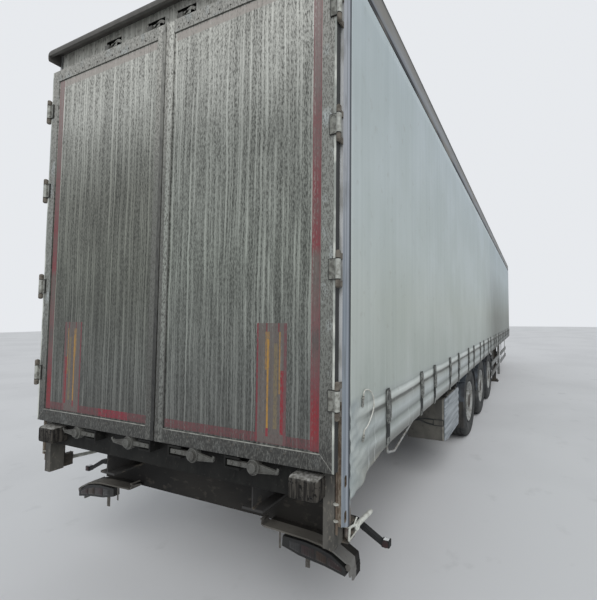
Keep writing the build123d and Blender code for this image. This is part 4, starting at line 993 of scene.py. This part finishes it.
colour = over(shades(cloud, (0.4, 1), (0.62, 0)), colour, (245, 246, 244), "MULTIPLY")
washed_lines = times(drips(along, 0.17, 0.006, 2.3), shades(rates(height, 2.2, 1.4), (0, 0), (1, 0.6)))
washed_lines = times(washed_lines, shades(grain(at, 1, (1, 9, 4)), (0.42, 0), (0.6, 1)))
colour = over(washed_lines, colour, (214, 220, 218))
past_seam = maths("GREATER_THAN", along, DOOR_Y + SEAM_Y)
colour = over(past_seam, colour, (244, 245, 247), "MULTIPLY")
weave = grain(at, 420, detail=2)
grime = grain(at, 14, (1, 1.5, 1))
colour = patched(grime, 0.62, 0.78, colour, (146, 146, 138), 0.4)
forward = shades(rates(along, DOOR_Y + 5.0, DOOR_Y + 11.0), (0, 0), (0.45, 1), (1, 0.8))
lower = shades(rates(height, 1.5, 3.2), (0.2, 1), (0.62, 0.5), (0.95, 0))
colour = over(times(forward, lower), colour, (182, 179, 174), "MULTIPLY")
coat(shader, colour, weave, 0.0003)
for side, hand, phase in ((1, "right", 0.4), (-1, "left", 2.1)):
    points = curtain_surface(side, phase)
    curtain = piece(f"cloth_curtain_{hand}", [grid_sheet(points, side)], curtain_cloth,
        stands_for=[f"curtain_{hand}"], sharp=60)
    thickened(curtain)


# Curtain straps: black webbing from an over-centre buckle down to a flat steel hook on the side
# rail's lower edge, 22 a side, sewn to the cloth above.
strap_black = aged("strap_black", (40, 43, 43), (58, 60, 59), (86, 84, 78), size=0.04, stretch=(1, 1, 0.5),
    roughness=0.85)
buckle_steel = aged("buckle_steel", (132, 134, 130), (86, 88, 85), (34, 35, 34), size=0.035, roughness=0.65,
    worn=(0.46, 0.56), flecked=(0.52, 0.6))
STRAP_X, STRAP_WIDE = 1.2835, 0.052
# The buckle's rounded outline as (along Y, Z); its upper end is two short horns
BUCKLE_SHAPE = np.array([(-0.014, 1.198), (0.018, 1.196), (0.033, 1.216), (0.037, 1.252), (0.031, 1.296),
    (0.037, 1.342), (0.032, 1.392), (0.016, 1.413), (0.005, 1.396), (-0.006, 1.396), (-0.014, 1.415),
    (-0.03, 1.404), (-0.037, 1.366), (-0.031, 1.318), (-0.036, 1.262), (-0.031, 1.22)])
webbing, buckles, hooks = [], [], []
for station in strap_y:
    y = DOOR_Y + station
    ribbon = [(STRAP_X - 0.0015, 1.418), (STRAP_X - 0.0015, 1.405), (STRAP_X, 1.33), (STRAP_X, 1.215),
        (STRAP_X + 0.001, 1.15), (STRAP_X - 0.0005, 1.095)]
    webbing.append(swept([(x, y, z) for x, z in ribbon], flat_section(STRAP_WIDE, 0.003), (1, 0, 0)))
    # Buckle: a base plate with two horns, a lever with a turned-out lower lip and two side cheeks
    buckles.append(plate(BUCKLE_SHAPE + (y, 0), (STRAP_X + 0.002, STRAP_X + 0.006), 0))
    lever = [(STRAP_X + 0.0065, 1.38), (STRAP_X + 0.0095, 1.365), (STRAP_X + 0.0115, 1.31),
        (STRAP_X + 0.01, 1.225), (STRAP_X + 0.0125, 1.203)]
    buckles.append(swept([(x, y, z) for x, z in lever], flat_section(0.036, 0.0025), (1, 0, 0)))
    for edge in (-1, 1):
        buckles.append(block((STRAP_X + 0.002, y + edge * 0.0245, 1.225),
            (STRAP_X + 0.013, y + edge * 0.0275, 1.35)))
    buckles.append(turned([(0.004, -0.028), (0.004, 0.028)], (STRAP_X + 0.0085, y, 1.345), "y", 8))
    # Hook: a flat tongue that runs under the rail and turns up behind its lip
    hook = [(STRAP_X + 0.0005, 1.112), (STRAP_X - 0.001, 1.075), (STRAP_X - 0.005, 1.058),
        (STRAP_X - 0.013, 1.053), (STRAP_X - 0.02, 1.058)]
    for side in (1, -1):
        hooks.append(swept([(side * x, y, z) for x, z in hook], flat_section(0.05, 0.004), (side, 0, 0)))
piece("strap_webbing", mirrored(webbing), strap_black, stands_for=["curtain_straps"])
piece("strap_buckles", mirrored(buckles) + hooks, buckle_steel)
# Each end of the cord goes into a crimped ferrule on a tab sewn to the cloth
cord_ends = []
for start, end, (x, y, z) in ((1.385, 1.44, cord_route[0]), (1.196, 1.23, cord_route[-1])):
    cord_ends.append(block((1.2775, DOOR_Y + y - 0.011, start), (1.2805, DOOR_Y + y + 0.011, end)))
    cord_ends.append(turned([(0.0045, -0.021), (0.0065, -0.018), (0.0065, -0.003), (0.0052, 0)],
        (x, DOOR_Y + y, z), "z", 14))
ferrule = aged("ferrule", (146, 146, 138), (92, 93, 90), (58, 58, 56), size=0.012, roughness=0.6)
piece("cord_ends", cord_ends, ferrule)

# Curtain tensioners: a galvanised pole inside each curtain's rear edge, turned by a ratchet with
# a folding lever in a bracket at the post's foot. Bright on top, rusty where it is low.
pole_zinc, shader, at = fresh_finish("pole_zinc", 0.5, 0.2)
split = axes(at)
spots = grain(at, 55, (1, 1, 0.5))
stain = grain(at, 9)
bright = patched(stain, 0.4, 0.64, (148, 152, 154), (116, 114, 108))
rusty = patched(spots, 0.4, 0.6, (108, 92, 78), (80, 64, 52))
rusted = times(rates(split["Z"], 0.92, 0.84), shades(stain, (0.35, 0.25), (0.6, 0.95)))
colour = over(rusted, bright, rusty)
coat(shader, colour, spots, 0.0005)
POLE_Y, LUG_END = DOOR_Y + 0.15, DOOR_Y + 0.214
POST_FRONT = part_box("rear_portal")[1][1]
casting_pale = aged("casting_pale", (206, 208, 200), (176, 176, 168), (128, 120, 106), size=0.03,
    roughness=0.5, metallic=0.1)
bracket_dark = aged("bracket_dark", (70, 67, 62), (92, 84, 74), (52, 46, 41), size=0.03, roughness=0.8)
poles, brackets, castings = [], [], []
# Pole: a tube with a rolled foot, a hex nut on its lower end and a collar under the rail
profile = [(0.001, 0.7525), (0.011, 0.7525), (0.0115, 0.76), (0.0165, 0.762), (0.017, 0.772), (0.017, 3.72),
    (0.0195, 3.722), (0.0195, 3.738), (0.017, 3.74), (0.016, 3.758), (0.001, 3.759)]
poles.append(turned(profile, (1.25, POLE_Y, 0), steps=20))
# Bracket: two lugs with rounded ends and the web behind them, screwed to the post
for low in (0.7365, 0.8185):
    bend = np.linspace(-np.pi / 2, np.pi / 2, 9)
    lug_end = np.column_stack([1.243 + 0.024 * np.sin(bend), LUG_END - 0.024 + 0.024 * np.cos(bend)])
    outline = np.concatenate([[(1.219, POST_FRONT + 0.001)], lug_end, [(1.267, POST_FRONT + 0.001)]])
    brackets.append(plate(outline, (low, low + 0.007), 2))
brackets.append(block((1.2185, POST_FRONT + 0.001, 0.737), (1.2255, LUG_END - 0.01, 0.825), 0.001))
# Ratchet: a toothed ring between the lugs, radius 27.5 mm with 14 teeth of 3 mm
TEETH = 14
corner = np.arange(4 * TEETH)
turn = corner * 2 * np.pi / (4 * TEETH)
reach = 0.0245 + 0.003 * (corner % 4 < 2)
for low, high in ((0.762, 0.776), (0.79, 0.804)):
    ring = np.column_stack([1.246 + reach * np.cos(turn), POLE_Y + 0.03 + reach * np.sin(turn)])
    brackets.append(plate(ring, (low, high), 2))
# Casting: an open frame on the bracket's outer side that ends in the ring of the lever's pivot
out, PIVOT_Y, PIVOT_Z = 1.27, 0.216, 0.779
bars = [[(1.232, 0.136, 0.812), (1.256, 0.136, 0.813), (out, 0.139, 0.809), (out, 0.146, 0.806)],
    [(out, 0.137, 0.812), (out, 0.133, 0.78), (out, 0.13, 0.756), (out, 0.134, 0.75)],
    [(out, 0.13, 0.752), (out, 0.16, 0.752), (out, 0.205, 0.757), (out, 0.226, 0.764)],
    [(out, 0.139, 0.81), (out, 0.165, 0.805), (out, 0.19, 0.795), (out, 0.205, 0.786)],
    [(out, 0.178, 0.8), (out, 0.196, 0.812), (out, 0.214, 0.824)]]
for bar, radius in zip(bars, (0.0046, 0.0062, 0.0052, 0.0066, 0.0042)):
    path = [(x, DOOR_Y + y, z) for x, y, z in bar]
    castings.append(swept(path, round_section(radius, 8), (0.3, 0.2, 0.9)))
knob = [(0.012, 1.264), (0.0215, 1.266), (0.0225, 1.27), (0.0225, 1.276), (0.0205, 1.2785),
    (0.0165, 1.2785), (0.015, 1.2765), (0.008, 1.2765), (0.001, 1.2785)]
castings.append(turned([(radius, x) for radius, x in knob], (0, DOOR_Y + PIVOT_Y, PIVOT_Z), "x", 26))
# Lever: a round rod that leaves the pivot level, with a domed end
reach_y = [PIVOT_Y, 0.24, 0.3, 0.37, 0.392, 0.3985, 0.4005]
radii = [0.015, 0.0148, 0.0143, 0.0138, 0.0126, 0.009, 0.0035]
circle = round_section(1.0, 14)
lever = []
for y, radius in zip(reach_y, radii):
    middle_z = PIVOT_Z - 0.1 * (y - PIVOT_Y)
    lever.append(np.column_stack([1.265 + radius * circle[:, 0], np.full(len(circle), DOOR_Y + y),
        middle_z + radius * circle[:, 1]]))
castings.append(shell(np.array(lever)))
piece("tension_poles", mirrored(poles), pole_zinc, stands_for=["curtain_tensioners"])
piece("tension_brackets", mirrored(brackets), bracket_dark)
piece("tension_levers", mirrored(castings), casting_pale)

# Side guards: two aluminium boards a side, ahead of and behind the landing gear, bolted to posts
# under the side rails. Grey with a fine grain along their length.
board_metal = aged("board_metal", (120, 122, 121), (96, 96, 93), (142, 142, 138), size=0.3,
    stretch=(1, 0.15, 3), roughness=0.5, metallic=0.3)
dress(board_metal, "side_guards")
guard_bolts = []
for rear, front in ((7.1, 9.04), (9.6, 11.65)):
    for low in (0.455, 0.69):
        for y in (rear + 0.4, front - 0.15):
            for z in (low + 0.03, low + 0.07):
                guard_bolts.append(turned([(0.01, 1.2525), (0.01, 1.257), (0.007, 1.2585)],
                    (0, DOOR_Y + y, z), "x", 10))
        for z in (low + 0.033, low + 0.067):
            groove = [(1.2532, DOOR_Y + rear + 0.01, z), (1.2532, DOOR_Y + front - 0.01, z)]
            guard_bolts.append(swept(groove, flat_section(0.004, 0.002), (1, 0, 0)))
piece("guard_fittings", mirrored(guard_bolts), board_metal)

# Underride bumper: a deep pressed beam across the tail, dull black and painted darker still as
# shade, with a bent plate behind each end over the lamps. The plates' rear edges and outer ends
# are pale with dust.
bumper_paint, shader, at = fresh_finish("bumper_paint", 0.7)
shader.inputs["Specular IOR Level"].default_value = DULL
split = axes(at)
dusty, crumbs = grain(at, 3, (0.6, 1, 1)), grain(at, 26, (0.6, 1, 1))
plate_tone = patched(dusty, 0.42, 0.62, (84, 81, 76), (104, 101, 95))
plate_tone = over(band(maths("ABSOLUTE", split["X"]), 1.1, 1.3), plate_tone, (112, 111, 108))
in_plate = times(band(split["Y"], DOOR_Y, DOOR_Y + 0.318), band(split["Z"], 0.4, 0.632))
# Outside the plates the beam is near-black: black paint, darkened further as painted shade.
colour = over(in_plate, patched(dusty, 0.42, 0.62, (30, 29, 28), (44, 42, 39)), plate_tone)
colour = patched(crumbs, 0.58, 0.7, colour, (70, 66, 60), 0.6)
coat(shader, colour, crumbs, 0.0006)
dress(bumper_paint, "underride_bumper")
ear_paint = aged("ear_paint", (92, 89, 84), (74, 71, 67), (52, 50, 47), size=0.03)
# The plate's inner end is turned up into a blunt ear
EAR = ((0.634, 0.621), (0.612, 0.622), (0.6, 0.629), (0.595, 0.642), (0.598, 0.656), (0.606, 0.664))
ears = []
for side in (1, -1):
    path = [(side * x, DOOR_Y + 0.284, z) for x, z in EAR]
    ears.append(swept(path, flat_section(0.068, 0.007), (0, 0.02, 1)))
bumper_parts = []
for x in (0.6, 0.7):
    for y in (0.375, 0.425):
        bumper_parts.append(turned([(0.012, 0.6), (0.012, 0.6062)], (x, DOOR_Y + y, 0), steps=6))
# A round stud and its washer at the plate's outer end, and two pale lamp straps
bumper_parts.append(turned([(0.01, -0.006), (0.0165, -0.004), (0.0165, 0.0), (0.01, 0.002)],
    (1.198, DOOR_Y + 0.25, 0.524), "y", 18))
bumper_parts.append(block((0.735, DOOR_Y + 0.2505, 0.522), (0.75, DOOR_Y + 0.253, 0.6195), 0.001))
for z in (0.445, 0.46):
    bumper_parts.append(turned([(0.008, -0.004), (0.008, 0.006)], (0.912, DOOR_Y + 0.286, z), "y", 8))
piece("bumper_fittings", mirrored(bumper_parts), ear_paint)
piece("bumper_ears", ears, ear_paint)

# Rear lamps: a black tapered housing under each bent plate, with a smoked lens of four fields
# for tail, brake, turn and reverse light, nearly black with dirt and with painted shade.
lamp_black = aged("lamp_black", (17, 17, 18), (26, 26, 25), (48, 46, 42), size=0.1, roughness=0.5)
dress(lamp_black, "rear_lamps")
LENS_ROWS, LENS_COLUMNS = 7, 9
lens_dirt_and_shade_tones = (("outer", 1.165, 1.078, (38, 12, 13)), ("amber", 1.07, 1.0, (46, 29, 14)),
    ("tail", 0.992, 0.9, (38, 13, 14)), ("reverse", 0.892, 0.82, (44, 44, 45)))
lens_top = np.array([(0.772, 0.598), (0.93, 0.592), (1.018, 0.58), (1.1, 0.56), (1.186, 0.516)])
lens_foot = np.array([(0.768, 0.56), (0.892, 0.532), (1.059, 0.515), (1.186, 0.492)])
for name, far, near, shade in lens_dirt_and_shade_tones:
    lens_finish, shader, at = fresh_finish(f"lens_{name}", 0.3)
    film = shades(grain(at, 18), (0.4, 0.25), (0.66, 0.85))
    ribbing = joined("ShaderNodeTexWave", {"Vector": at, "Scale": 28}).outputs["Fac"]
    coat(shader, over(film, shade, (26, 25, 23)), ribbing, 0.0008)
    lenses = []
    columns = np.linspace(near, far, LENS_COLUMNS)
    top = np.interp(columns, lens_top[:, 0], lens_top[:, 1]) - 0.006
    foot = np.interp(columns, lens_foot[:, 0], lens_foot[:, 1]) + 0.004
    rows = np.linspace(0, 1, LENS_ROWS)[:, None]
    bulge = 0.005 * (1 - (2 * rows - 1) ** 4) * (1 - np.linspace(-1, 1, LENS_COLUMNS)[None, :] ** 4)
    face = np.stack([np.broadcast_to(columns, (LENS_ROWS, LENS_COLUMNS)), DOOR_Y + 0.2375 - bulge,
        foot + (top - foot) * rows], -1)
    rim = np.concatenate([face[0], face[1:, -1], face[-1, -2::-1], face[-2:0:-1, 0]])
    back_rim = np.column_stack([rim[:, 0], np.full(len(rim), DOOR_Y + 0.2395), rim[:, 2]])
    lenses += [grid_sheet(face), shell(np.array([rim, back_rim]), ends=False)]
    piece(f"lamp_lens_{name}", mirrored(lenses), lens_finish)

# Rubber buffers: solid blocks bolted to the crossbar through two deep holes. Their tops are pale
# with dust and their rear faces are chafed in streaks.
buffer_rubber, shader, at = fresh_finish("buffer_rubber", 0.9)
shader.inputs["Specular IOR Level"].default_value = DULL
chafe = grain(at, 1, (70, 70, 6))
crumbs = grain(at, 60)
side_tone = patched(chafe, 0.42, 0.6, (36, 34, 32), (74, 71, 66))
side_tone = patched(crumbs, 0.54, 0.66, side_tone, (22, 21, 20))
top_tone = patched(crumbs, 0.4, 0.6, (150, 149, 145), (100, 98, 93))
facing = at.id_data.nodes.new("ShaderNodeNewGeometry").outputs["Normal"]
coat(shader, patched(axes(facing)["Z"], 0.3, 0.6, side_tone, top_tone), crumbs, 0.0012)
BUFFER_X, BUFFER_Z, BUFFER_BACK = (1.008, 1.184), (0.985, 1.1), DOOR_Y - 0.025
buffers = []
# Rounded block: a superellipse section, even along Y, with the rear edge drawn in; the four
# rings at the rear also carry small dents from a sum of sines.
AROUND = 64
turn = np.arange(AROUND) * 2 * np.pi / AROUND
centre_x, centre_z = sum(BUFFER_X) / 2, sum(BUFFER_Z) / 2
half_x, half_z = (BUFFER_X[1] - BUFFER_X[0]) / 2, (BUFFER_Z[1] - BUFFER_Z[0]) / 2
outline = np.column_stack([np.sign(np.cos(turn)) * np.abs(np.cos(turn)) ** 0.16,
    np.sign(np.sin(turn)) * np.abs(np.sin(turn)) ** 0.2])
rings = []
for y, draw in ((0.07, 0.002), (0.066, 0.0), (0.03, 0.0005), (0.0, 0.001), (-0.012, 0.002), (-0.02, 0.005),
        (-0.0248, 0.01)):
    dent = 0.0012 * np.sin(5 * turn + 90 * y) * np.sin(3 * turn)
    reach = np.array([half_x, half_z]) - draw - np.abs(dent)[:, None]
    ring = outline * reach
    rings.append(np.column_stack([centre_x + ring[:, 0], np.full(AROUND, DOOR_Y + y), centre_z + ring[:, 1]]))
buffers.append(shell(np.array(rings)))
piece("buffer_blocks", mirrored(buffers), buffer_rubber,
    stands_for=["dock_buffers"], sharp=50)
holes = []
for x, z in ((1.03, 1.07), (1.15, 1.01)):
    holes.append(turned([(0.0001, 0.0008), (0.0062, 0.0008), (0.0078, -0.0006), (0.009, 0.0006)],
        (x, BUFFER_BACK, z), "y", 16))
piece("buffer_holes", mirrored(holes), socket_black)

# Marker lamps: a rubber arm on each end of the bumper, with a black lamp at its tip, white to the
# front and red to the rear.
marker_rubber = aged("marker_rubber", (13, 15, 16), (24, 25, 26), (44, 44, 43), size=0.04, roughness=0.75,
    flecked=(0.56, 0.68))
dress(marker_rubber, "marker_lamps")
white_lens = aged("white_lens", (222, 224, 224), (204, 206, 206), (176, 176, 172), size=0.03, roughness=0.3)
red_lens = aged("red_lens", (46, 16, 17), (38, 22, 22), (60, 44, 42), size=0.03, roughness=0.4)
for name, finish, direction in (("white", white_lens, 1), ("red", red_lens, -1)):
    lenses = []
    y = DOOR_Y + 0.391 + direction * 0.0155
    dome = [(0.0195, 0), (0.019, direction * 0.002), (0.013, direction * 0.004),
        (0.0005, direction * 0.005)]
    lenses.append(turned(dome, (1.363, y, 0.608), "y", 22))
    if direction > 0:
        lenses.append(block((1.348, DOOR_Y + 0.38, 0.6262), (1.379, DOOR_Y + 0.402, 0.63), 0.001))
    piece(f"marker_lens_{name}", mirrored(lenses), finish)

# Boarding bar: a round rod that bends down from the right side rail near its rear end and rises
# back to it in a long slope. Galvanised, with brown flecks.
bar_zinc = aged("bar_zinc", (158, 160, 158), (128, 126, 120), (104, 92, 78), size=0.04, roughness=0.5,
    metallic=0.2)
dress(bar_zinc, "boarding_bar")

# Side box: a pressed steel box on two bars, with a bottom-hinged lid of pale ribbed panel. Its
# rear wall is grey with dust and has a paler flange, and a strap is hooked across it.
box_dust, shader, at = fresh_finish("box_dust", 0.8)
split = axes(at)
powder, spots = grain(at, 7, (1, 1, 0.6)), grain(at, 40, (1, 1, 0.6))
wall_tone = patched(powder, 0.4, 0.64, (74, 73, 69), (92, 90, 84))
wall_tone = patched(spots, 0.6, 0.72, wall_tone, (56, 54, 50), 0.8)
flange = patched(spots, 0.45, 0.62, (134, 132, 125), (108, 105, 98))
colour = over(band(maths("ABSOLUTE", split["X"]), 1.204, 1.3), wall_tone, flange)
# Painted shadow: from 0.9555 m up, under the curtain, the wall is nearly black.
colour = over(band(split["Z"], 0.9555, 1.2), colour, (40, 39, 37))
coat(shader, colour, spots, 0.0005)
dress(box_dust, "toolbox")
lid_panel = aged("lid_panel", (148, 154, 158), (120, 126, 130), (106, 106, 102), size=0.2,
    stretch=(1, 0.35, 11), roughness=0.5, flecked=(0.66, 0.78))
lid_low, lid_high = np.array(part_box("toolbox_lid"))
# Outer skin: five rounded ribs, x = face + rise * (1 - (distance / half) ** 4) over each rib
RIB_Z, RIB_HALF, RIB_RISE = np.array([0.59, 0.675, 0.76, 0.845, 0.925]), 0.026, 0.0056
z = np.linspace(lid_low[2] + 0.0005, lid_high[2] - 0.0005, 121)
z[0] = 0.507
near = np.min(np.abs(z[:, None] - RIB_Z), -1)
LID_INNER = 1.227
skin_x = LID_INNER + 0.01 + RIB_RISE * np.clip(1 - (near / RIB_HALF) ** 4, 0, 1)
ring = np.concatenate([np.column_stack([skin_x, z]), [(LID_INNER, z[-1]), (LID_INNER, z[0])]])
lid_y = [lid_low[1] + 0.001, lid_low[1] + 0.004, lid_high[1] - 0.004, lid_high[1] - 0.001]
lid_rings = []
for y, rise in zip(lid_y, (0.002, RIB_RISE, RIB_RISE, 0.002)):
    skin = np.minimum(ring[:, 0], LID_INNER + 0.01 + rise)
    lid_rings.append(np.column_stack([skin, np.full(len(ring), y), ring[:, 1]]))
lid_parts = [shell(np.array(lid_rings))]
for start in np.linspace(lid_low[1] + 0.06, lid_high[1] - 0.2, 4):
    lid_parts.append(turned([(0.004, start), (0.0066, start + 0.002), (0.0066, start + 0.138),
        (0.004, start + 0.14)], (1.244, 0, 0.513), "y", 14))
    lid_parts.append(block((1.2365, start + 0.02, 0.5085), (1.245, start + 0.12, 0.5175), 0.001))
for y in (lid_low[1] + 0.15, lid_high[1] - 0.15):
    lid_parts.append(block((1.244, y - 0.022, 0.89), (1.2475, y + 0.022, 0.948), 0.001))
piece("ribbed_lid", lid_parts, lid_panel, "box_lid", ["toolbox_lid"])
# Strap: two thin strands that part from a knot and close in a wire hook at the wall's flange
hung_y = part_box("toolbox")[0][1] - 0.004
# Points of each strand, as X, distance out from the hook's plane, Z
STRANDS = (((0.905, 0.004, 0.745), (0.94, 0.003, 0.726), (1.02, 0, 0.733), (1.11, 0, 0.73)),
    ((0.87, 0.004, 0.7), (0.94, 0.003, 0.715), (1.03, 0, 0.684), (1.11, 0, 0.672)))
box_strap = []
for strand in STRANDS:
    path = [(x, hung_y - out, z) for x, out, z in strand]
    box_strap.append(swept(path, flat_section(0.014, 0.003), (0, -1, 0)))
hook = [(1.112, 0.736), (1.214, 0.734), (1.219, 0.728), (1.219, 0.676), (1.214, 0.67), (1.112, 0.668),
    (1.108, 0.674), (1.108, 0.73), (1.112, 0.736)]
box_strap.append(swept([(x, hung_y - 0.001, z) for x, z in hook], round_section(0.004, 8), (0, -1, 0)))
piece("box_strap", box_strap, strap_black)
